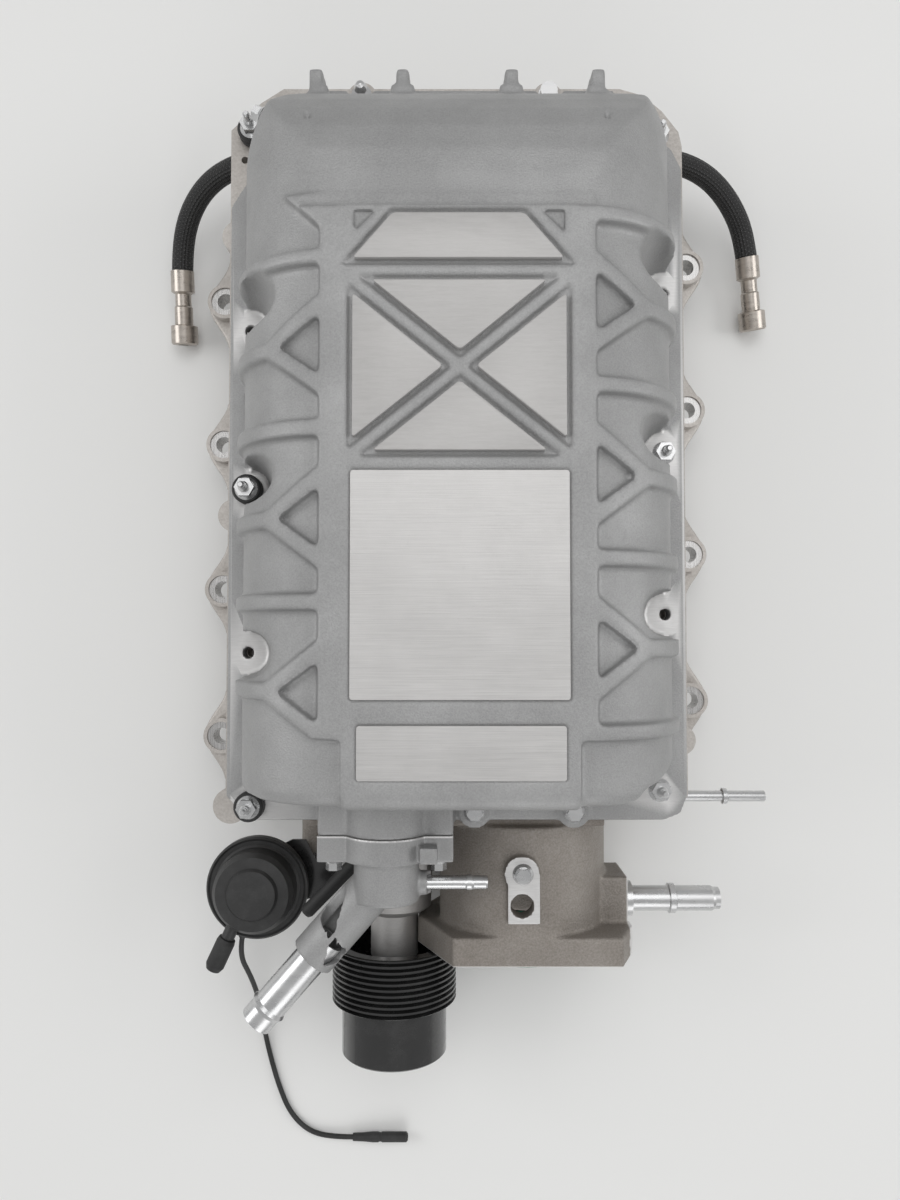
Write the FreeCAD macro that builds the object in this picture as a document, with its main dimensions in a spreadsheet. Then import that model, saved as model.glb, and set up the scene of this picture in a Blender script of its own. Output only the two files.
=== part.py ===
import FreeCAD, Part
import math
import os
import Sketcher

# A twin-rotor engine supercharger. Millimetres. +Z is up, the pulley faces -Y, and the origin is on
# the flat belly, below the middle of the lid.

Vector = FreeCAD.Vector
Rotation = FreeCAD.Rotation
doc = FreeCAD.newDocument("supercharger")
sheet = doc.addObject("Spreadsheet::Sheet", "Sizes")
nodes = {}
rows = []


class Size:
    """A number that also carries its spreadsheet formula, so that what is built from it stays linked."""

    def __init__(self, value, text):
        self.value = value
        self.text = text

    def __add__(self, other):
        return Size(self.value + amount(other), f"({self.text} + {formula(other)})")

    def __radd__(self, other):
        return Size(amount(other) + self.value, f"({formula(other)} + {self.text})")

    def __sub__(self, other):
        return Size(self.value - amount(other), f"({self.text} - {formula(other)})")

    def __rsub__(self, other):
        return Size(amount(other) - self.value, f"({formula(other)} - {self.text})")

    def __mul__(self, other):
        return Size(self.value * amount(other), f"({self.text} * {formula(other)})")

    def __rmul__(self, other):
        return Size(amount(other) * self.value, f"({formula(other)} * {self.text})")

    def __truediv__(self, other):
        return Size(self.value / amount(other), f"({self.text} / {formula(other)})")

    def __neg__(self):
        return Size(-self.value, f"(-1 * {self.text})")


def amount(thing):
    return thing.value if isinstance(thing, Size) else float(thing)


def formula(thing):
    return thing.text if isinstance(thing, Size) else f"{float(thing):.6f}"


def size(alias, value, note):
    """Write one driving dimension into the sheet and return it as a linked size."""
    row = len(rows) + 1
    rows.append(alias)
    sheet.set(f"A{row}", alias)
    sheet.set(f"B{row}", str(value))
    sheet.setAlias(f"B{row}", alias)
    sheet.set(f"C{row}", note)
    return Size(float(value), f"Sizes.{alias}")


# Driving sizes -------------------------------------------------------------------------------------

deck_top = size("deck_top", 118, "height of the joint face that the lid is bolted to")
deck_thick = size("deck_thick", 12, "thickness of the plate round the top of the lower casting")
gasket_thick = size("gasket_thick", 1.5, "lid gasket")
flange_top = size("flange_top", 130, "height of the lid's flange")
lid_top = size("lid_top", 206, "height of the lid's ribbed top")
lid_half = size("lid_half", 124, "half the width of the lid above its flange")
lid_round = size("lid_round", 58, "radius of the lid's long shoulders")
rib_depth = size("rib_depth", 6, "how far the ribs stand above the pockets")
lid_wall = size("lid_wall", 6, "wall of the lid")
edge_half = size("edge_half", 134.5, "half the width of the lid's flange")
lid_rear = size("lid_rear", 218, "rear edge of the lid's flange")
lid_front = size("lid_front", -217, "front edge of the lid's flange")
dome_rear = size("dome_rear", 213, "rear face of the lid above its flange")
wall_front = size("wall_front", -198, "front face of the lid above its flange")
ribs_rear = size("ribs_rear", 120, "where the ribbed top ends and the smooth dome begins")
plate_half = size("plate_half", 138, "half the width of the lower casting's top plate")
plate_rear = size("plate_rear", 226, "rear edge of the lower casting's top plate")
plate_front = size("plate_front", -217, "front edge of the lower casting's top plate")

rotor_axis = size("rotor_axis", 58, "height of the rotor axes")
rotor_offset = size("rotor_offset", 40.5, "sideways distance of each rotor axis, half their spacing")
rotor_gap = size("rotor_gap", 0.3, "gap between the lobe tips and their bores")
mesh_gap = size("mesh_gap", 0.7, "how far each lobe flank is set back from true contact")
rotor_length = size("rotor_length", 250, "length of the lobes")
rotor_twist = size("rotor_twist", 160, "twist of the lobes over their length, degrees")
rotor_end_gap = size("rotor_end_gap", 0.5, "gap at each end of the lobes")
case_half = size("case_half", 97, "half the width of the rotor case")
case_rear = size("case_rear", 140, "rear face of the rotor case")
case_front = size("case_front", -190, "front face of the rotor case")
case_corner = size("case_corner", 24, "radius of the belly's long corners")
case_wall = size("case_wall", 7, "wall of the rotor case and of the inlet chamber")
bearing_thick = size("bearing_thick", 10, "thickness of the rotor bearings' plates")
bearing_outer = size("bearing_outer", 21, "outer radius of the rotor bearings")
rotor_shaft = size("rotor_shaft", 10, "radius of the rotor shafts")
press_gap = size("press_gap", 0.02, "gap of a pressed fit")
run_gap = size("run_gap", 0.05, "radial gap of a running fit")
gear_thick = size("gear_thick", 16, "thickness of the timing gears")
gear_teeth = size("gear_teeth", 30, "teeth of each timing gear")
gear_depth = size("gear_depth", 2.3, "height of the gear teeth above and below the pitch circle")
cover_wall = size("cover_wall", 5, "rear wall of the gear cover")
cover_half = size("cover_half", 90, "half the width of the gear cover")

bank_outer = size("bank_outer", 134, "outer face of each runner bank")
flange_low = size("flange_low", 25, "height of the face that bolts to the cylinder heads")
head_flange = size("head_flange", 12, "thickness of the head flanges")
bolt_row = size("bolt_row", 160, "sideways distance of the head bolts")
bore_pitch = size("bore_pitch", 100, "spacing of the head bolts along the engine")
left_first = size("left_first", -178, "first head bolt on the left bank")
right_first = size("right_first", -154, "first head bolt on the right bank")
boss_round = size("boss_round", 12, "outer radius of the head bolt bosses")
boss_high = size("boss_high", 18, "height of the head bolt bosses")
limiter_outer = size("limiter_outer", 9.5, "outer radius of the steel limiters")
limiter_bore = size("limiter_bore", 5.5, "hole of the steel limiters")
port_inner = size("port_inner", 101, "inner face of each intake port")
port_outer = size("port_outer", 130, "outer face of each intake port")
port_half = size("port_half", 31, "half the length of each intake port")
seal_thick = size("seal_thick", 3, "thickness of the port seals")

well_pitch = size("well_pitch", 95.5, "spacing of the lid's side bolts")
left_well = size("left_well", -119.5, "front side bolt well on the left")
right_well = size("right_well", -97, "front side bolt well on the right")
well_x = size("well_x", 122.5, "sideways distance of the lid's side bolts")
well_round = size("well_round", 12.8, "radius of the bolt wells")
well_wall = size("well_wall", 4, "wall between a bolt well and the room inside the lid")
stud_radius = size("stud_radius", 3, "radius of the lid's studs and bolts")
hole_gap = size("hole_gap", 0.4, "clearance round a stud or bolt")

rib_pitch = size("rib_pitch", 88.9, "spacing of the rib pattern")
left_tip = size("left_tip", 39.7, "rear tip of the left ribs' triangles")
right_tip = size("right_tip", 61.9, "rear tip of the right ribs' triangles")
rib_inner = size("rib_inner", 71, "inner edge of the pockets between the ribs")

inlet_bore = size("inlet_bore", 46, "radius of the air inlet")
inlet_x = size("inlet_x", 42, "sideways place of the air inlet")
inlet_wall = size("inlet_wall", 9, "wall of the inlet duct")
inlet_front = size("inlet_front", -308.5, "face that the throttle bolts to")
inlet_flange = size("inlet_flange", 17.5, "thickness of the throttle flange")
throttle_half = size("throttle_half", 42, "half the spacing of the throttle bolts")
chamber_front = size("chamber_front", -226, "front face of the inlet chamber")
sensor_bore = size("sensor_bore", 7, "radius of the sensor's hole")
sensor_x = size("sensor_x", 39, "sideways place of the sensor's hole")

nose_front = size("nose_front", -318, "front end of the drive nose")
drive_shaft = size("drive_shaft", 8.5, "radius of the input shaft")
nose_bearing = size("nose_bearing", 17.5, "outer radius of the nose bearings")
nose_bolt = size("nose_bolt", 19, "half the spacing of the nose's bolts")
nose_flange = size("nose_flange", 32.5, "radius of the nose's flange")
pulley_radius = size("pulley_radius", 40.4, "outer radius of the ribbed rim")
pulley_rear = size("pulley_rear", -309.5, "rear edge of the pulley")
rib_count = size("rib_count", 10, "ribs of the pulley")
rib_spacing = size("rib_spacing", 3.56, "spacing of the pulley's ribs")
drum_radius = size("drum_radius", 34, "radius of the pulley's smooth drum")
pulley_front = size("pulley_front", -380, "front edge of the pulley")

neck_x = size("neck_x", -41, "sideways place of the coolant neck")
neck_face = size("neck_face", -224, "joint face of the coolant neck")
neck_height = size("neck_height", 131, "height of the coolant passage")
neck_bolt = size("neck_bolt", 30.5, "half the spacing of the neck's bolts")
spigot_radius = size("spigot_radius", 13.5, "radius of the neck's angled spigot")
pipe_radius = size("pipe_radius", 10, "radius of the coolant pipe")

core_half = size("core_half", 72, "half the width of the intercooler core")
core_low = size("core_low", 122, "underside of the intercooler core")
core_high = size("core_high", 186, "top of the intercooler core")

valve_x = size("valve_x", -95.5, "sideways place of the bypass shaft")
valve_z = size("valve_z", 44, "height of the bypass shaft")
valve_y = size("valve_y", -166, "middle of the bypass bore")
valve_radius = size("valve_radius", 15, "radius of the bypass disc")
valve_shaft = size("valve_shaft", 4, "radius of the bypass shaft")
valve_gap = size("valve_gap", 0.3, "gap round the bypass disc")
lever_arm = size("lever_arm", 32.5, "length of the bypass lever")
lever_rest = size("lever_rest", 30, "how far the lever hangs below level at rest, degrees")
can_x = size("can_x", -128, "sideways place of the bypass actuator")
can_y = size("can_y", -271.5, "place of the bypass actuator along the engine")
can_radius = size("can_radius", 32.5, "outer radius of the actuator's rim")
leg_y = size("leg_y", -262, "front face of the actuator bracket's leg")
rod_stem = size("rod_stem", 2.5, "radius of the actuator rod")
can_low = size("can_low", 60, "underside of the actuator")
cap_radius = size("cap_radius", 26, "radius of the actuator's dome")
cap_high = size("cap_high", 93, "top of the actuator's dome")

hose_radius = size("hose_radius", 7.4, "radius of the braided hoses")
crossover_y = size("crossover_y", 212, "place of the crossover pipe along the engine")
crossover_z = size("crossover_z", 62, "height of the crossover pipe")
crossover_half = size("crossover_half", 96, "half the length of the crossover pipe")
crossover_radius = size("crossover_radius", 6, "radius of the crossover pipe")
fitting_radius = size("fitting_radius", 9.4, "largest radius of the hoses' quick fittings")
line_radius = size("line_radius", 1.7, "radius of the thin vacuum line")

doc.recompute()

# Shared ways of making a piece ----------------------------------------------------------------------


def bind(thing, name, value):
    """Set a property, and link it to the sheet where the value is a linked size."""
    if isinstance(value, Size):
        thing.setExpression(name, value.text)
    elif "." not in name:
        setattr(thing, name, value)


def place(thing, x, y, z, rotation=None):
    thing.Placement = FreeCAD.Placement(Vector(amount(x), amount(y), amount(z)), rotation or Rotation())
    for axis, value in (("x", x), ("y", y), ("z", z)):
        bind(thing, f"Placement.Base.{axis}", value)


def towards(direction):
    """The turn that points the +Z axis of a primitive along a direction."""
    return Rotation(Vector(0, 0, 1), Vector(*direction))


def add(kind, name):
    return doc.addObject(kind, name)


def box(name, low_x, high_x, low_y, high_y, low_z, high_z):
    block = add("Part::Box", name)
    bind(block, "Length", high_x - low_x)
    bind(block, "Width", high_y - low_y)
    bind(block, "Height", high_z - low_z)
    place(block, low_x, low_y, low_z)
    return block


def cylinder(name, radius, length, x, y, z, direction=(0, 0, 1)):
    rod = add("Part::Cylinder", name)
    bind(rod, "Radius", radius)
    bind(rod, "Height", length)
    place(rod, x, y, z, towards(direction))
    return rod


def cone(name, radius_low, radius_high, length, x, y, z, direction=(0, 0, 1)):
    taper = add("Part::Cone", name)
    bind(taper, "Radius1", radius_low)
    bind(taper, "Radius2", radius_high)
    bind(taper, "Height", length)
    place(taper, x, y, z, towards(direction))
    return taper


def hexagon(name, across, height, x, y, z, direction=(0, 0, 1)):
    """A hexagonal prism; across is the distance between two flats."""
    nut = add("Part::Prism", name)
    nut.Polygon = 6
    bind(nut, "Circumradius", across / math.sqrt(3))
    bind(nut, "Height", height)
    place(nut, x, y, z, towards(direction))
    return nut


def fuse(name, parts):
    joined = add("Part::MultiFuse", name)
    joined.Shapes = parts
    joined.Refine = True
    return joined


def cut(name, base, tools):
    left = add("Part::Cut", name)
    left.Base = base
    left.Tool = tools[0] if len(tools) == 1 else fuse(name + "_tools", tools)
    left.Refine = True
    return left


def group(name, parts):
    """Several separate solids in one node."""
    several = add("Part::Compound", name)
    several.Links = parts
    return several


def node(name, thing):
    thing.Label = name
    nodes[name] = thing
    return thing


def origin_plane(body, role):
    return next(item for item in body.Origin.OriginFeatures if item.Role == role)


def sketch_in(body, role, offset):
    sketch = body.newObject("Sketcher::SketchObject", body.Name + "_sketch")
    sketch.AttachmentSupport = [(origin_plane(body, role), "")]
    sketch.MapMode = "FlatFace"
    sketch.AttachmentOffset = FreeCAD.Placement(Vector(0, 0, amount(offset)), Rotation())
    bind(sketch, "AttachmentOffset.Base.z", offset)
    return sketch


def pin_point(sketch, geometry, corner, point):
    """Hold one point of a sketch at its two distances from the sketch's origin."""
    for kind, value in (("DistanceX", point[0]), ("DistanceY", point[1])):
        index = sketch.addConstraint(Sketcher.Constraint(kind, -1, 1, geometry, corner, amount(value)))
        if isinstance(value, Size):
            sketch.setExpression(f"Constraints[{index}]", value.text)


def outline(sketch, points):
    """A closed outline of straight sides, each corner held by its distances from the origin."""
    count = len(points)
    corners = [Vector(amount(x), amount(y), 0) for x, y in points]
    for index in range(count):
        sketch.addGeometry(Part.LineSegment(corners[index], corners[(index + 1) % count]), False)
    for index in range(count):
        sketch.addConstraint(Sketcher.Constraint("Coincident", index, 2, (index + 1) % count, 1))
    for index, point in enumerate(points):
        pin_point(sketch, index, 1, point)


def circle(sketch, x, y, radius):
    middle = Vector(amount(x), amount(y), 0)
    index = sketch.addGeometry(Part.Circle(middle, Vector(0, 0, 1), amount(radius)), False)
    pin_point(sketch, index, 3, (x, y))
    held = sketch.addConstraint(Sketcher.Constraint("Radius", index, amount(radius)))
    if isinstance(radius, Size):
        sketch.setExpression(f"Constraints[{held}]", radius.text)


def prism(name, along, points, low, high, holes=()):
    """A pad from low to high along one axis; points are (x, y) along z, (x, z) along y, (y, z) along x."""
    role, start = {"z": ("XY_Plane", low), "y": ("XZ_Plane", -1 * high), "x": ("YZ_Plane", low)}[along]
    body = add("PartDesign::Body", name)
    sketch = sketch_in(body, role, start)
    outline(sketch, points)
    for x, y, radius in holes:
        circle(sketch, x, y, radius)
    pad = body.newObject("PartDesign::Pad", name + "_pad")
    pad.Profile = sketch
    bind(pad, "Length", high - low)
    return body


def lathe(name, profile, x, y, z, direction=(0, 0, 1)):
    """A turned piece; the profile is (radius, distance along the axis)."""
    body = add("PartDesign::Body", name)
    sketch = sketch_in(body, "XZ_Plane", 0)
    outline(sketch, profile)
    turned = body.newObject("PartDesign::Revolution", name + "_turned")
    turned.Profile = sketch
    turned.ReferenceAxis = (sketch, ["V_Axis"])
    turned.Angle = 360
    place(body, x, y, z, towards(direction))
    return body


def round_edges(body, radius, middles):
    """Round the edges of a body whose middles lie nearest to the given points."""
    doc.recompute()
    base = body.Tip
    names = []
    for point in middles:
        spot = Vector(*[amount(value) for value in point])
        gaps = [(edge.CenterOfMass - spot).Length for edge in base.Shape.Edges]
        names.append(f"Edge{gaps.index(min(gaps)) + 1}")
    rounding = body.newObject("PartDesign::Fillet", body.Name + "_round")
    rounding.Base = (base, names)
    bind(rounding, "Radius", radius)
    return body


def route(name, points, radius):
    """A tube of straight runs joined by arcs as large as the runs allow; its bend radii are printed."""
    spots = [Vector(*[amount(value) for value in point]) for point in points]
    edges = []
    start = spots[0]
    bends = []
    for before, here, after in zip(spots, spots[1:], spots[2:]):
        back = (before - here).normalize()
        ahead = (after - here).normalize()
        turn = math.pi - back.getAngle(ahead)
        reach = 0.45 * min(before.distanceToPoint(here), here.distanceToPoint(after))
        bend = reach / math.tan(turn / 2)
        bends.append(round(bend, 1))
        first = here + back * reach
        last = here + ahead * reach
        bisector = (back + ahead).normalize()
        middle = here + bisector * (bend / math.cos(turn / 2) - bend)
        edges.append(Part.LineSegment(start, first).toShape())
        edges.append(Part.Arc(first, middle, last).toShape())
        start = last
    edges.append(Part.LineSegment(start, spots[-1]).toShape())
    path = Part.Wire(edges)
    section = Part.Wire(Part.Circle(spots[0], spots[1] - spots[0], amount(radius)).toShape())
    tube = add("Part::Feature", name)
    tube.Shape = path.makePipeShell([section], True, False)
    place(tube, 0, 0, 0)
    expected = math.pi * amount(radius) ** 2 * path.Length
    print(name, "bend radii", bends, "length", round(path.Length, 1),
          "volume ratio", round(tube.Shape.Volume / expected, 4))
    return tube


# Outlines that several pieces share ---------------------------------------------------------------------


def lid_outline(grow=0):
    """The lid's flange from above, cut back at the rear corners where the lower casting shows."""
    left = -1 * edge_half + grow
    right = edge_half - grow
    rear = lid_rear - grow
    front = lid_front + grow
    return [(left, front + 14), (left + 12, front), (right - 14, front), (right - 4, front + 4),
            (right, front + 14), (right, rear - 48), (right - 6, rear - 36), (right - 20.5, rear - 26),
            (right - 41, rear), (left + 45, rear), (left + 32.5, rear - 20.5), (left + 18, rear - 43),
            (left + 5, rear - 63), (left, rear - 71)]


def plate_outline():
    """The lower casting's top plate from above."""
    return [(-1 * plate_half, plate_front + 12), (-1 * plate_half + 10, plate_front),
            (plate_half - 10, plate_front), (plate_half, plate_front + 12), (plate_half, plate_rear - 36),
            (plate_half - 2, plate_rear - 27), (plate_half - 12, plate_rear - 14),
            (plate_half - 24, plate_rear - 4), (plate_half - 38, plate_rear), (-1 * plate_half + 32, plate_rear),
            (-1 * plate_half + 18, plate_rear - 9), (-1 * plate_half, plate_rear - 26)]


def bolt_line(first, count, pitch):
    return [first + pitch * index for index in range(count)]


left_bolts = bolt_line(left_first, 4, bore_pitch)
right_bolts = bolt_line(right_first, 4, bore_pitch)
head_bolts = [(-1 * bolt_row, y) for y in left_bolts] + [(bolt_row, y) for y in right_bolts]
ports = [(-1, y) for y in left_bolts] + [(1, y) for y in right_bolts]
left_wells = bolt_line(left_well, 3, well_pitch)
right_wells = bolt_line(right_well, 3, well_pitch)
side_wells = [(-1 * well_x, y) for y in left_wells] + [(well_x, y) for y in right_wells]
corner_wells = [(-1 * well_x + 2.5, lid_front + 9), (well_x - 4, lid_front + 17.5)]
corner_studs = [(-1 * well_x - 1.5, lid_rear - 21), (well_x + 1, lid_rear - 21)]
front_bolts = [(10.3, lid_front + 5), (68.2, lid_front + 5)]
cover_bolts = [(x, z) for x in (-1 * cover_half + 9, 0, cover_half - 9)
               for z in (rotor_axis - 43.5, rotor_axis + 40.5)]
rotor_sides = (-1 * rotor_offset, rotor_offset)
lobe_tip = rotor_offset * 1.25
rotor_bore = lobe_tip + rotor_gap
chamber_rear = case_rear - rotor_length - 2 * rotor_end_gap
cover_top = deck_top - deck_thick - 0.5
inlet_half = case_half - 6.5
mouth_half = inlet_half - case_wall - 2
mouth_top = cover_top - case_wall

# Lower casting -----------------------------------------------------------------------------------------


def port_sides(side, margin=0):
    """The two X faces of an intake port on one side, grown or shrunk by a margin."""
    if side > 0:
        return port_inner - margin, port_outer + margin
    return -1 * port_outer - margin, -1 * port_inner + margin


def head_flange_parts(side, bolts, tag):
    """One runner bank: its block, its flange to the cylinder head and the bolt bosses beside it."""
    low_y = bolts[0] - 39
    high_y = bolts[-1] + 36
    near = (case_half - 6) * side
    far = bank_outer * side
    edge = (bank_outer + 5) * side
    spans = [sorted((near, far), key=amount), sorted((near, edge), key=amount)]
    parts = [box(f"bank_{tag}", *spans[0], low_y, high_y, flange_low, deck_top),
             box(f"bank_flange_{tag}", *spans[1], low_y, high_y, flange_low, flange_low + head_flange)]
    for index, y in enumerate(bolts):
        x = bolt_row * side
        web = [(edge - 3 * side, y - 34), (x + 5 * side, y - boss_round + 1.5),
               (x + 5 * side, y + boss_round - 1.5), (edge - 3 * side, y + 34)]
        web = web if side > 0 else list(reversed(web))
        parts.append(prism(f"web_{tag}_{index}", "z", web, flange_low, flange_low + head_flange - 2))
        parts.append(cylinder(f"boss_{tag}_{index}", boss_round, boss_high, x, y, flange_low))
    return parts


def manifold_housing():
    corners = [(-1 * case_half, 0), (case_half, 0), (case_half, deck_top), (-1 * case_half, deck_top)]
    case = prism("case", "y", corners, case_front, case_rear)
    middle = (case_front + case_rear) / 2
    round_edges(case, case_corner, [(-1 * case_half, middle, 0), (case_half, middle, 0)])
    plate = prism("top_plate", "z", plate_outline(), deck_top - deck_thick, deck_top)
    solids = [case, plate]
    solids += head_flange_parts(-1, left_bolts, "left")
    solids += head_flange_parts(1, right_bolts, "right")
    solids += [cylinder("dowel_boss_a", 10, deck_thick + 6, -1 * plate_half + 5, 134, deck_top - deck_thick - 6),
               cylinder("dowel_boss_b", 10, deck_thick + 6, -1 * plate_half + 4, -37, deck_top - deck_thick - 6),
               cylinder("dowel_boss_c", 10.5, deck_thick, -1 * plate_half + 3, -211, deck_top - deck_thick),
               cylinder("dowel_boss_d", 9, deck_thick, plate_half - 4, -172, deck_top - deck_thick),
               cylinder("rear_boss_a", 9, deck_thick, -58, plate_rear - 5, deck_top - deck_thick),
               cylinder("rear_boss_b", 9, deck_thick, 56, plate_rear - 5, deck_top - deck_thick)]
    body = fuse("manifold_solid", solids)
    back = case_rear + 1
    tools = [cylinder(f"rotor_bore_{index}", rotor_bore, back - chamber_rear, x, back, rotor_axis, (0, -1, 0))
             for index, x in enumerate(rotor_sides)]
    chamber_half = case_half - case_wall
    low = rotor_axis - rotor_bore + 2
    tools.append(box("inlet_chamber_cut", -1 * chamber_half, chamber_half, case_front + 7, chamber_rear, low,
                     deck_top - deck_thick - 2))
    tools.append(box("inlet_mouth_cut", -1 * mouth_half, mouth_half, case_front - 1, case_front + 8, 13, mouth_top))
    outlet = [(-18, -70), (18, -70), (34, 105), (-34, 105)]
    tools.append(prism("outlet_cut", "z", outlet, rotor_axis + 30, deck_top + 1))
    for index, (side, y) in enumerate(ports):
        near, far = port_sides(side)
        tools.append(box(f"port_cut_{index}", near, far, y - port_half, y + port_half, flange_low - 1, deck_top + 1))
        near, far = port_sides(side, 2.4)
        tools.append(box(f"seal_groove_{index}", near, far, y - port_half - 2.4, y + port_half + 2.4,
                         flange_low - 1, flange_low + seal_thick))
    for index, (x, y) in enumerate(head_bolts):
        tools.append(cylinder(f"limiter_cut_{index}", limiter_outer + run_gap, boss_high + 2, x, y, flange_low - 1))
    for index, (x, y) in enumerate(side_wells + corner_wells + corner_studs + front_bolts):
        tools.append(cylinder(f"stud_cut_{index}", stud_radius + press_gap, deck_thick + 1, x, y,
                              deck_top - deck_thick + 2))
    for index, (x, z) in enumerate(cover_bolts):
        tools.append(cylinder(f"cover_bolt_cut_{index}", stud_radius + press_gap, 16, x, case_rear - 15, z, (0, 1, 0)))
    tools += [cylinder("valve_bore", valve_radius + valve_gap, 30, valve_x - 16, valve_y, valve_z, (1, 0, 0)),
              cylinder("valve_shaft_cut", valve_shaft + run_gap, 76, valve_x, valve_y + valve_radius + 8, valve_z,
                       (0, -1, 0)),
              cylinder("vacuum_port_cut", 3.22, 12, plate_half - 9, -206, deck_top - 5, (1, 0, 0)),
              cylinder("corner_hole_a", 3.4, deck_thick + 2, -101, 217, deck_top - deck_thick - 1),
              cylinder("corner_hole_b", 2.2, deck_thick + 2, -129.5, 181.5, deck_top - deck_thick - 1),
              cylinder("rear_hole_a", stud_radius + press_gap, 11, -58, plate_rear - 5, deck_top - 8),
              cylinder("rear_hole_b", stud_radius + press_gap, 11, 56, plate_rear - 5, deck_top - 8)]
    node("manifold_housing", cut("manifold_housing", body, tools))


def head_seals():
    rings = []
    for index, (side, y) in enumerate(ports):
        near, far = port_sides(side, 2.2)
        outer = box(f"seal_outer_{index}", near, far, y - port_half - 2.2, y + port_half + 2.2, flange_low,
                    flange_low + seal_thick)
        near, far = port_sides(side, -0.5)
        hole = box(f"seal_hole_{index}", near, far, y - port_half + 0.5, y + port_half - 0.5, flange_low - 1,
                   flange_low + seal_thick + 1)
        rings.append(cut(f"seal_ring_{index}", outer, [hole]))
    node("head_seals", group("head_seals", rings))


def bolt_limiters():
    sleeves = []
    for index, (x, y) in enumerate(head_bolts):
        sleeve = [(limiter_bore, 0), (limiter_outer, 0), (limiter_outer, boss_high - 1.5),
                  (limiter_bore, boss_high - 1.5)]
        sleeves.append(lathe(f"limiter_{index}", sleeve, x, y, flange_low))
    node("bolt_limiters", group("bolt_limiters", sleeves))


# Rotors, shafts, bearings and timing gears -------------------------------------------------------------


def lobe_section(phase):
    """A four-lobed cycloid section, turned by phase degrees; every flank is set in by the mesh gap."""
    pitch = amount(rotor_offset)
    rolling = pitch / 8
    setback = amount(mesh_gap)
    steps = 6
    edges = []
    for arc in range(8):
        outward = 1 if arc % 2 == 0 else -1
        start = math.pi / 4 * arc
        end = start + math.pi / 4
        centre = pitch + outward * rolling
        points = [flank_corner(start, outward, pitch, setback)]
        for step in range(1, steps):
            roll = 2 * math.pi * step / steps
            travel = start + roll * rolling / pitch
            swing = travel + outward * roll
            point = Vector(centre * math.cos(travel) - outward * rolling * math.cos(swing),
                           centre * math.sin(travel) - outward * rolling * math.sin(swing), 0)
            contact = Vector(pitch * math.cos(travel), pitch * math.sin(travel), 0)
            points.append(point - (point - contact).normalize() * outward * setback)
        points.append(flank_corner(end, -outward, pitch, setback))
        curve = Part.BSplineCurve()
        curve.interpolate(Points=points, InitialTangent=Vector(math.cos(start), math.sin(start), 0) * outward,
                          FinalTangent=Vector(math.cos(end), math.sin(end), 0) * -outward)
        edges.append(curve.toShape())
    wire = Part.Wire(edges)
    wire.rotate(Vector(0, 0, 0), Vector(0, 0, 1), phase)
    return wire


def flank_corner(angle, outward, pitch, setback):
    """The point where a lobe's flank crosses the pitch circle."""
    spot = Vector(pitch * math.cos(angle), pitch * math.sin(angle), 0)
    return spot - Vector(math.sin(angle), -math.cos(angle), 0) * outward * setback


def rotor(name, x, phase, hand):
    """A lobed rotor lofted through turned sections, bored for its shaft."""
    length = amount(rotor_length)
    layers = 17
    sections = []
    for layer in range(layers):
        share = layer / (layers - 1)
        section = lobe_section(phase + hand * amount(rotor_twist) * share)
        section.translate(Vector(0, 0, length * share))
        sections.append(section)
    lobes = Part.makeLoft(sections, True, False)
    bore = Part.makeCylinder(amount(rotor_shaft + press_gap), length + 2, Vector(0, 0, -1))
    body = add("Part::Feature", name)
    body.Shape = lobes.cut(bore)
    place(body, x, case_rear - rotor_end_gap, rotor_axis, towards((0, -1, 0)))
    node(name, body)


def rotors():
    rotor("drive_rotor", rotor_sides[0], -22.5, 1)
    rotor("driven_rotor", rotor_sides[1], 22.5, -1)


def shaft_at(name, x, rear, front):
    ends = rotor_shaft - 1
    profile = [(0, 0), (ends, 0), (rotor_shaft, 1), (rotor_shaft, rear - front - 1), (ends, rear - front),
               (0, rear - front)]
    node(name, lathe(name, profile, x, rear, rotor_axis, (0, -1, 0)))


gear_rear = case_rear + bearing_thick + 2 + 1 + gear_thick
coupling_rear = chamber_front + 22
coupling_front = chamber_front - 2


def rotor_shafts():
    shaft_at("drive_rotor_shaft", rotor_sides[0], gear_rear + 2, coupling_rear - 10)
    shaft_at("driven_rotor_shaft", rotor_sides[1], gear_rear + 2, chamber_rear - bearing_thick - 3)


def bearing_ring(name, x, y, inner, outer, width):
    """A bearing drawn as one ring, with a shallow groove in each face between its two races."""
    band = outer - inner
    profile = [(inner, 0), (inner + band * 0.3, 0), (inner + band * 0.36, 0.8), (inner + band * 0.64, 0.8),
               (inner + band * 0.7, 0), (outer, 0), (outer, width), (inner + band * 0.7, width),
               (inner + band * 0.64, width - 0.8), (inner + band * 0.36, width - 0.8),
               (inner + band * 0.3, width), (inner, width)]
    return lathe(name, profile, x, y, rotor_axis, (0, -1, 0))


def rotor_bearings():
    inner = rotor_shaft + run_gap
    front = [bearing_ring(f"front_bearing_{index}", x, chamber_rear, inner, bearing_outer, bearing_thick)
             for index, x in enumerate(rotor_sides)]
    node("front_rotor_bearings", group("front_rotor_bearings", front))
    rear = [bearing_ring(f"rear_bearing_{index}", x, case_rear + bearing_thick + 2, inner, bearing_outer,
                         bearing_thick + 2) for index, x in enumerate(rotor_sides)]
    node("rear_rotor_bearings", group("rear_rotor_bearings", rear))


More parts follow.
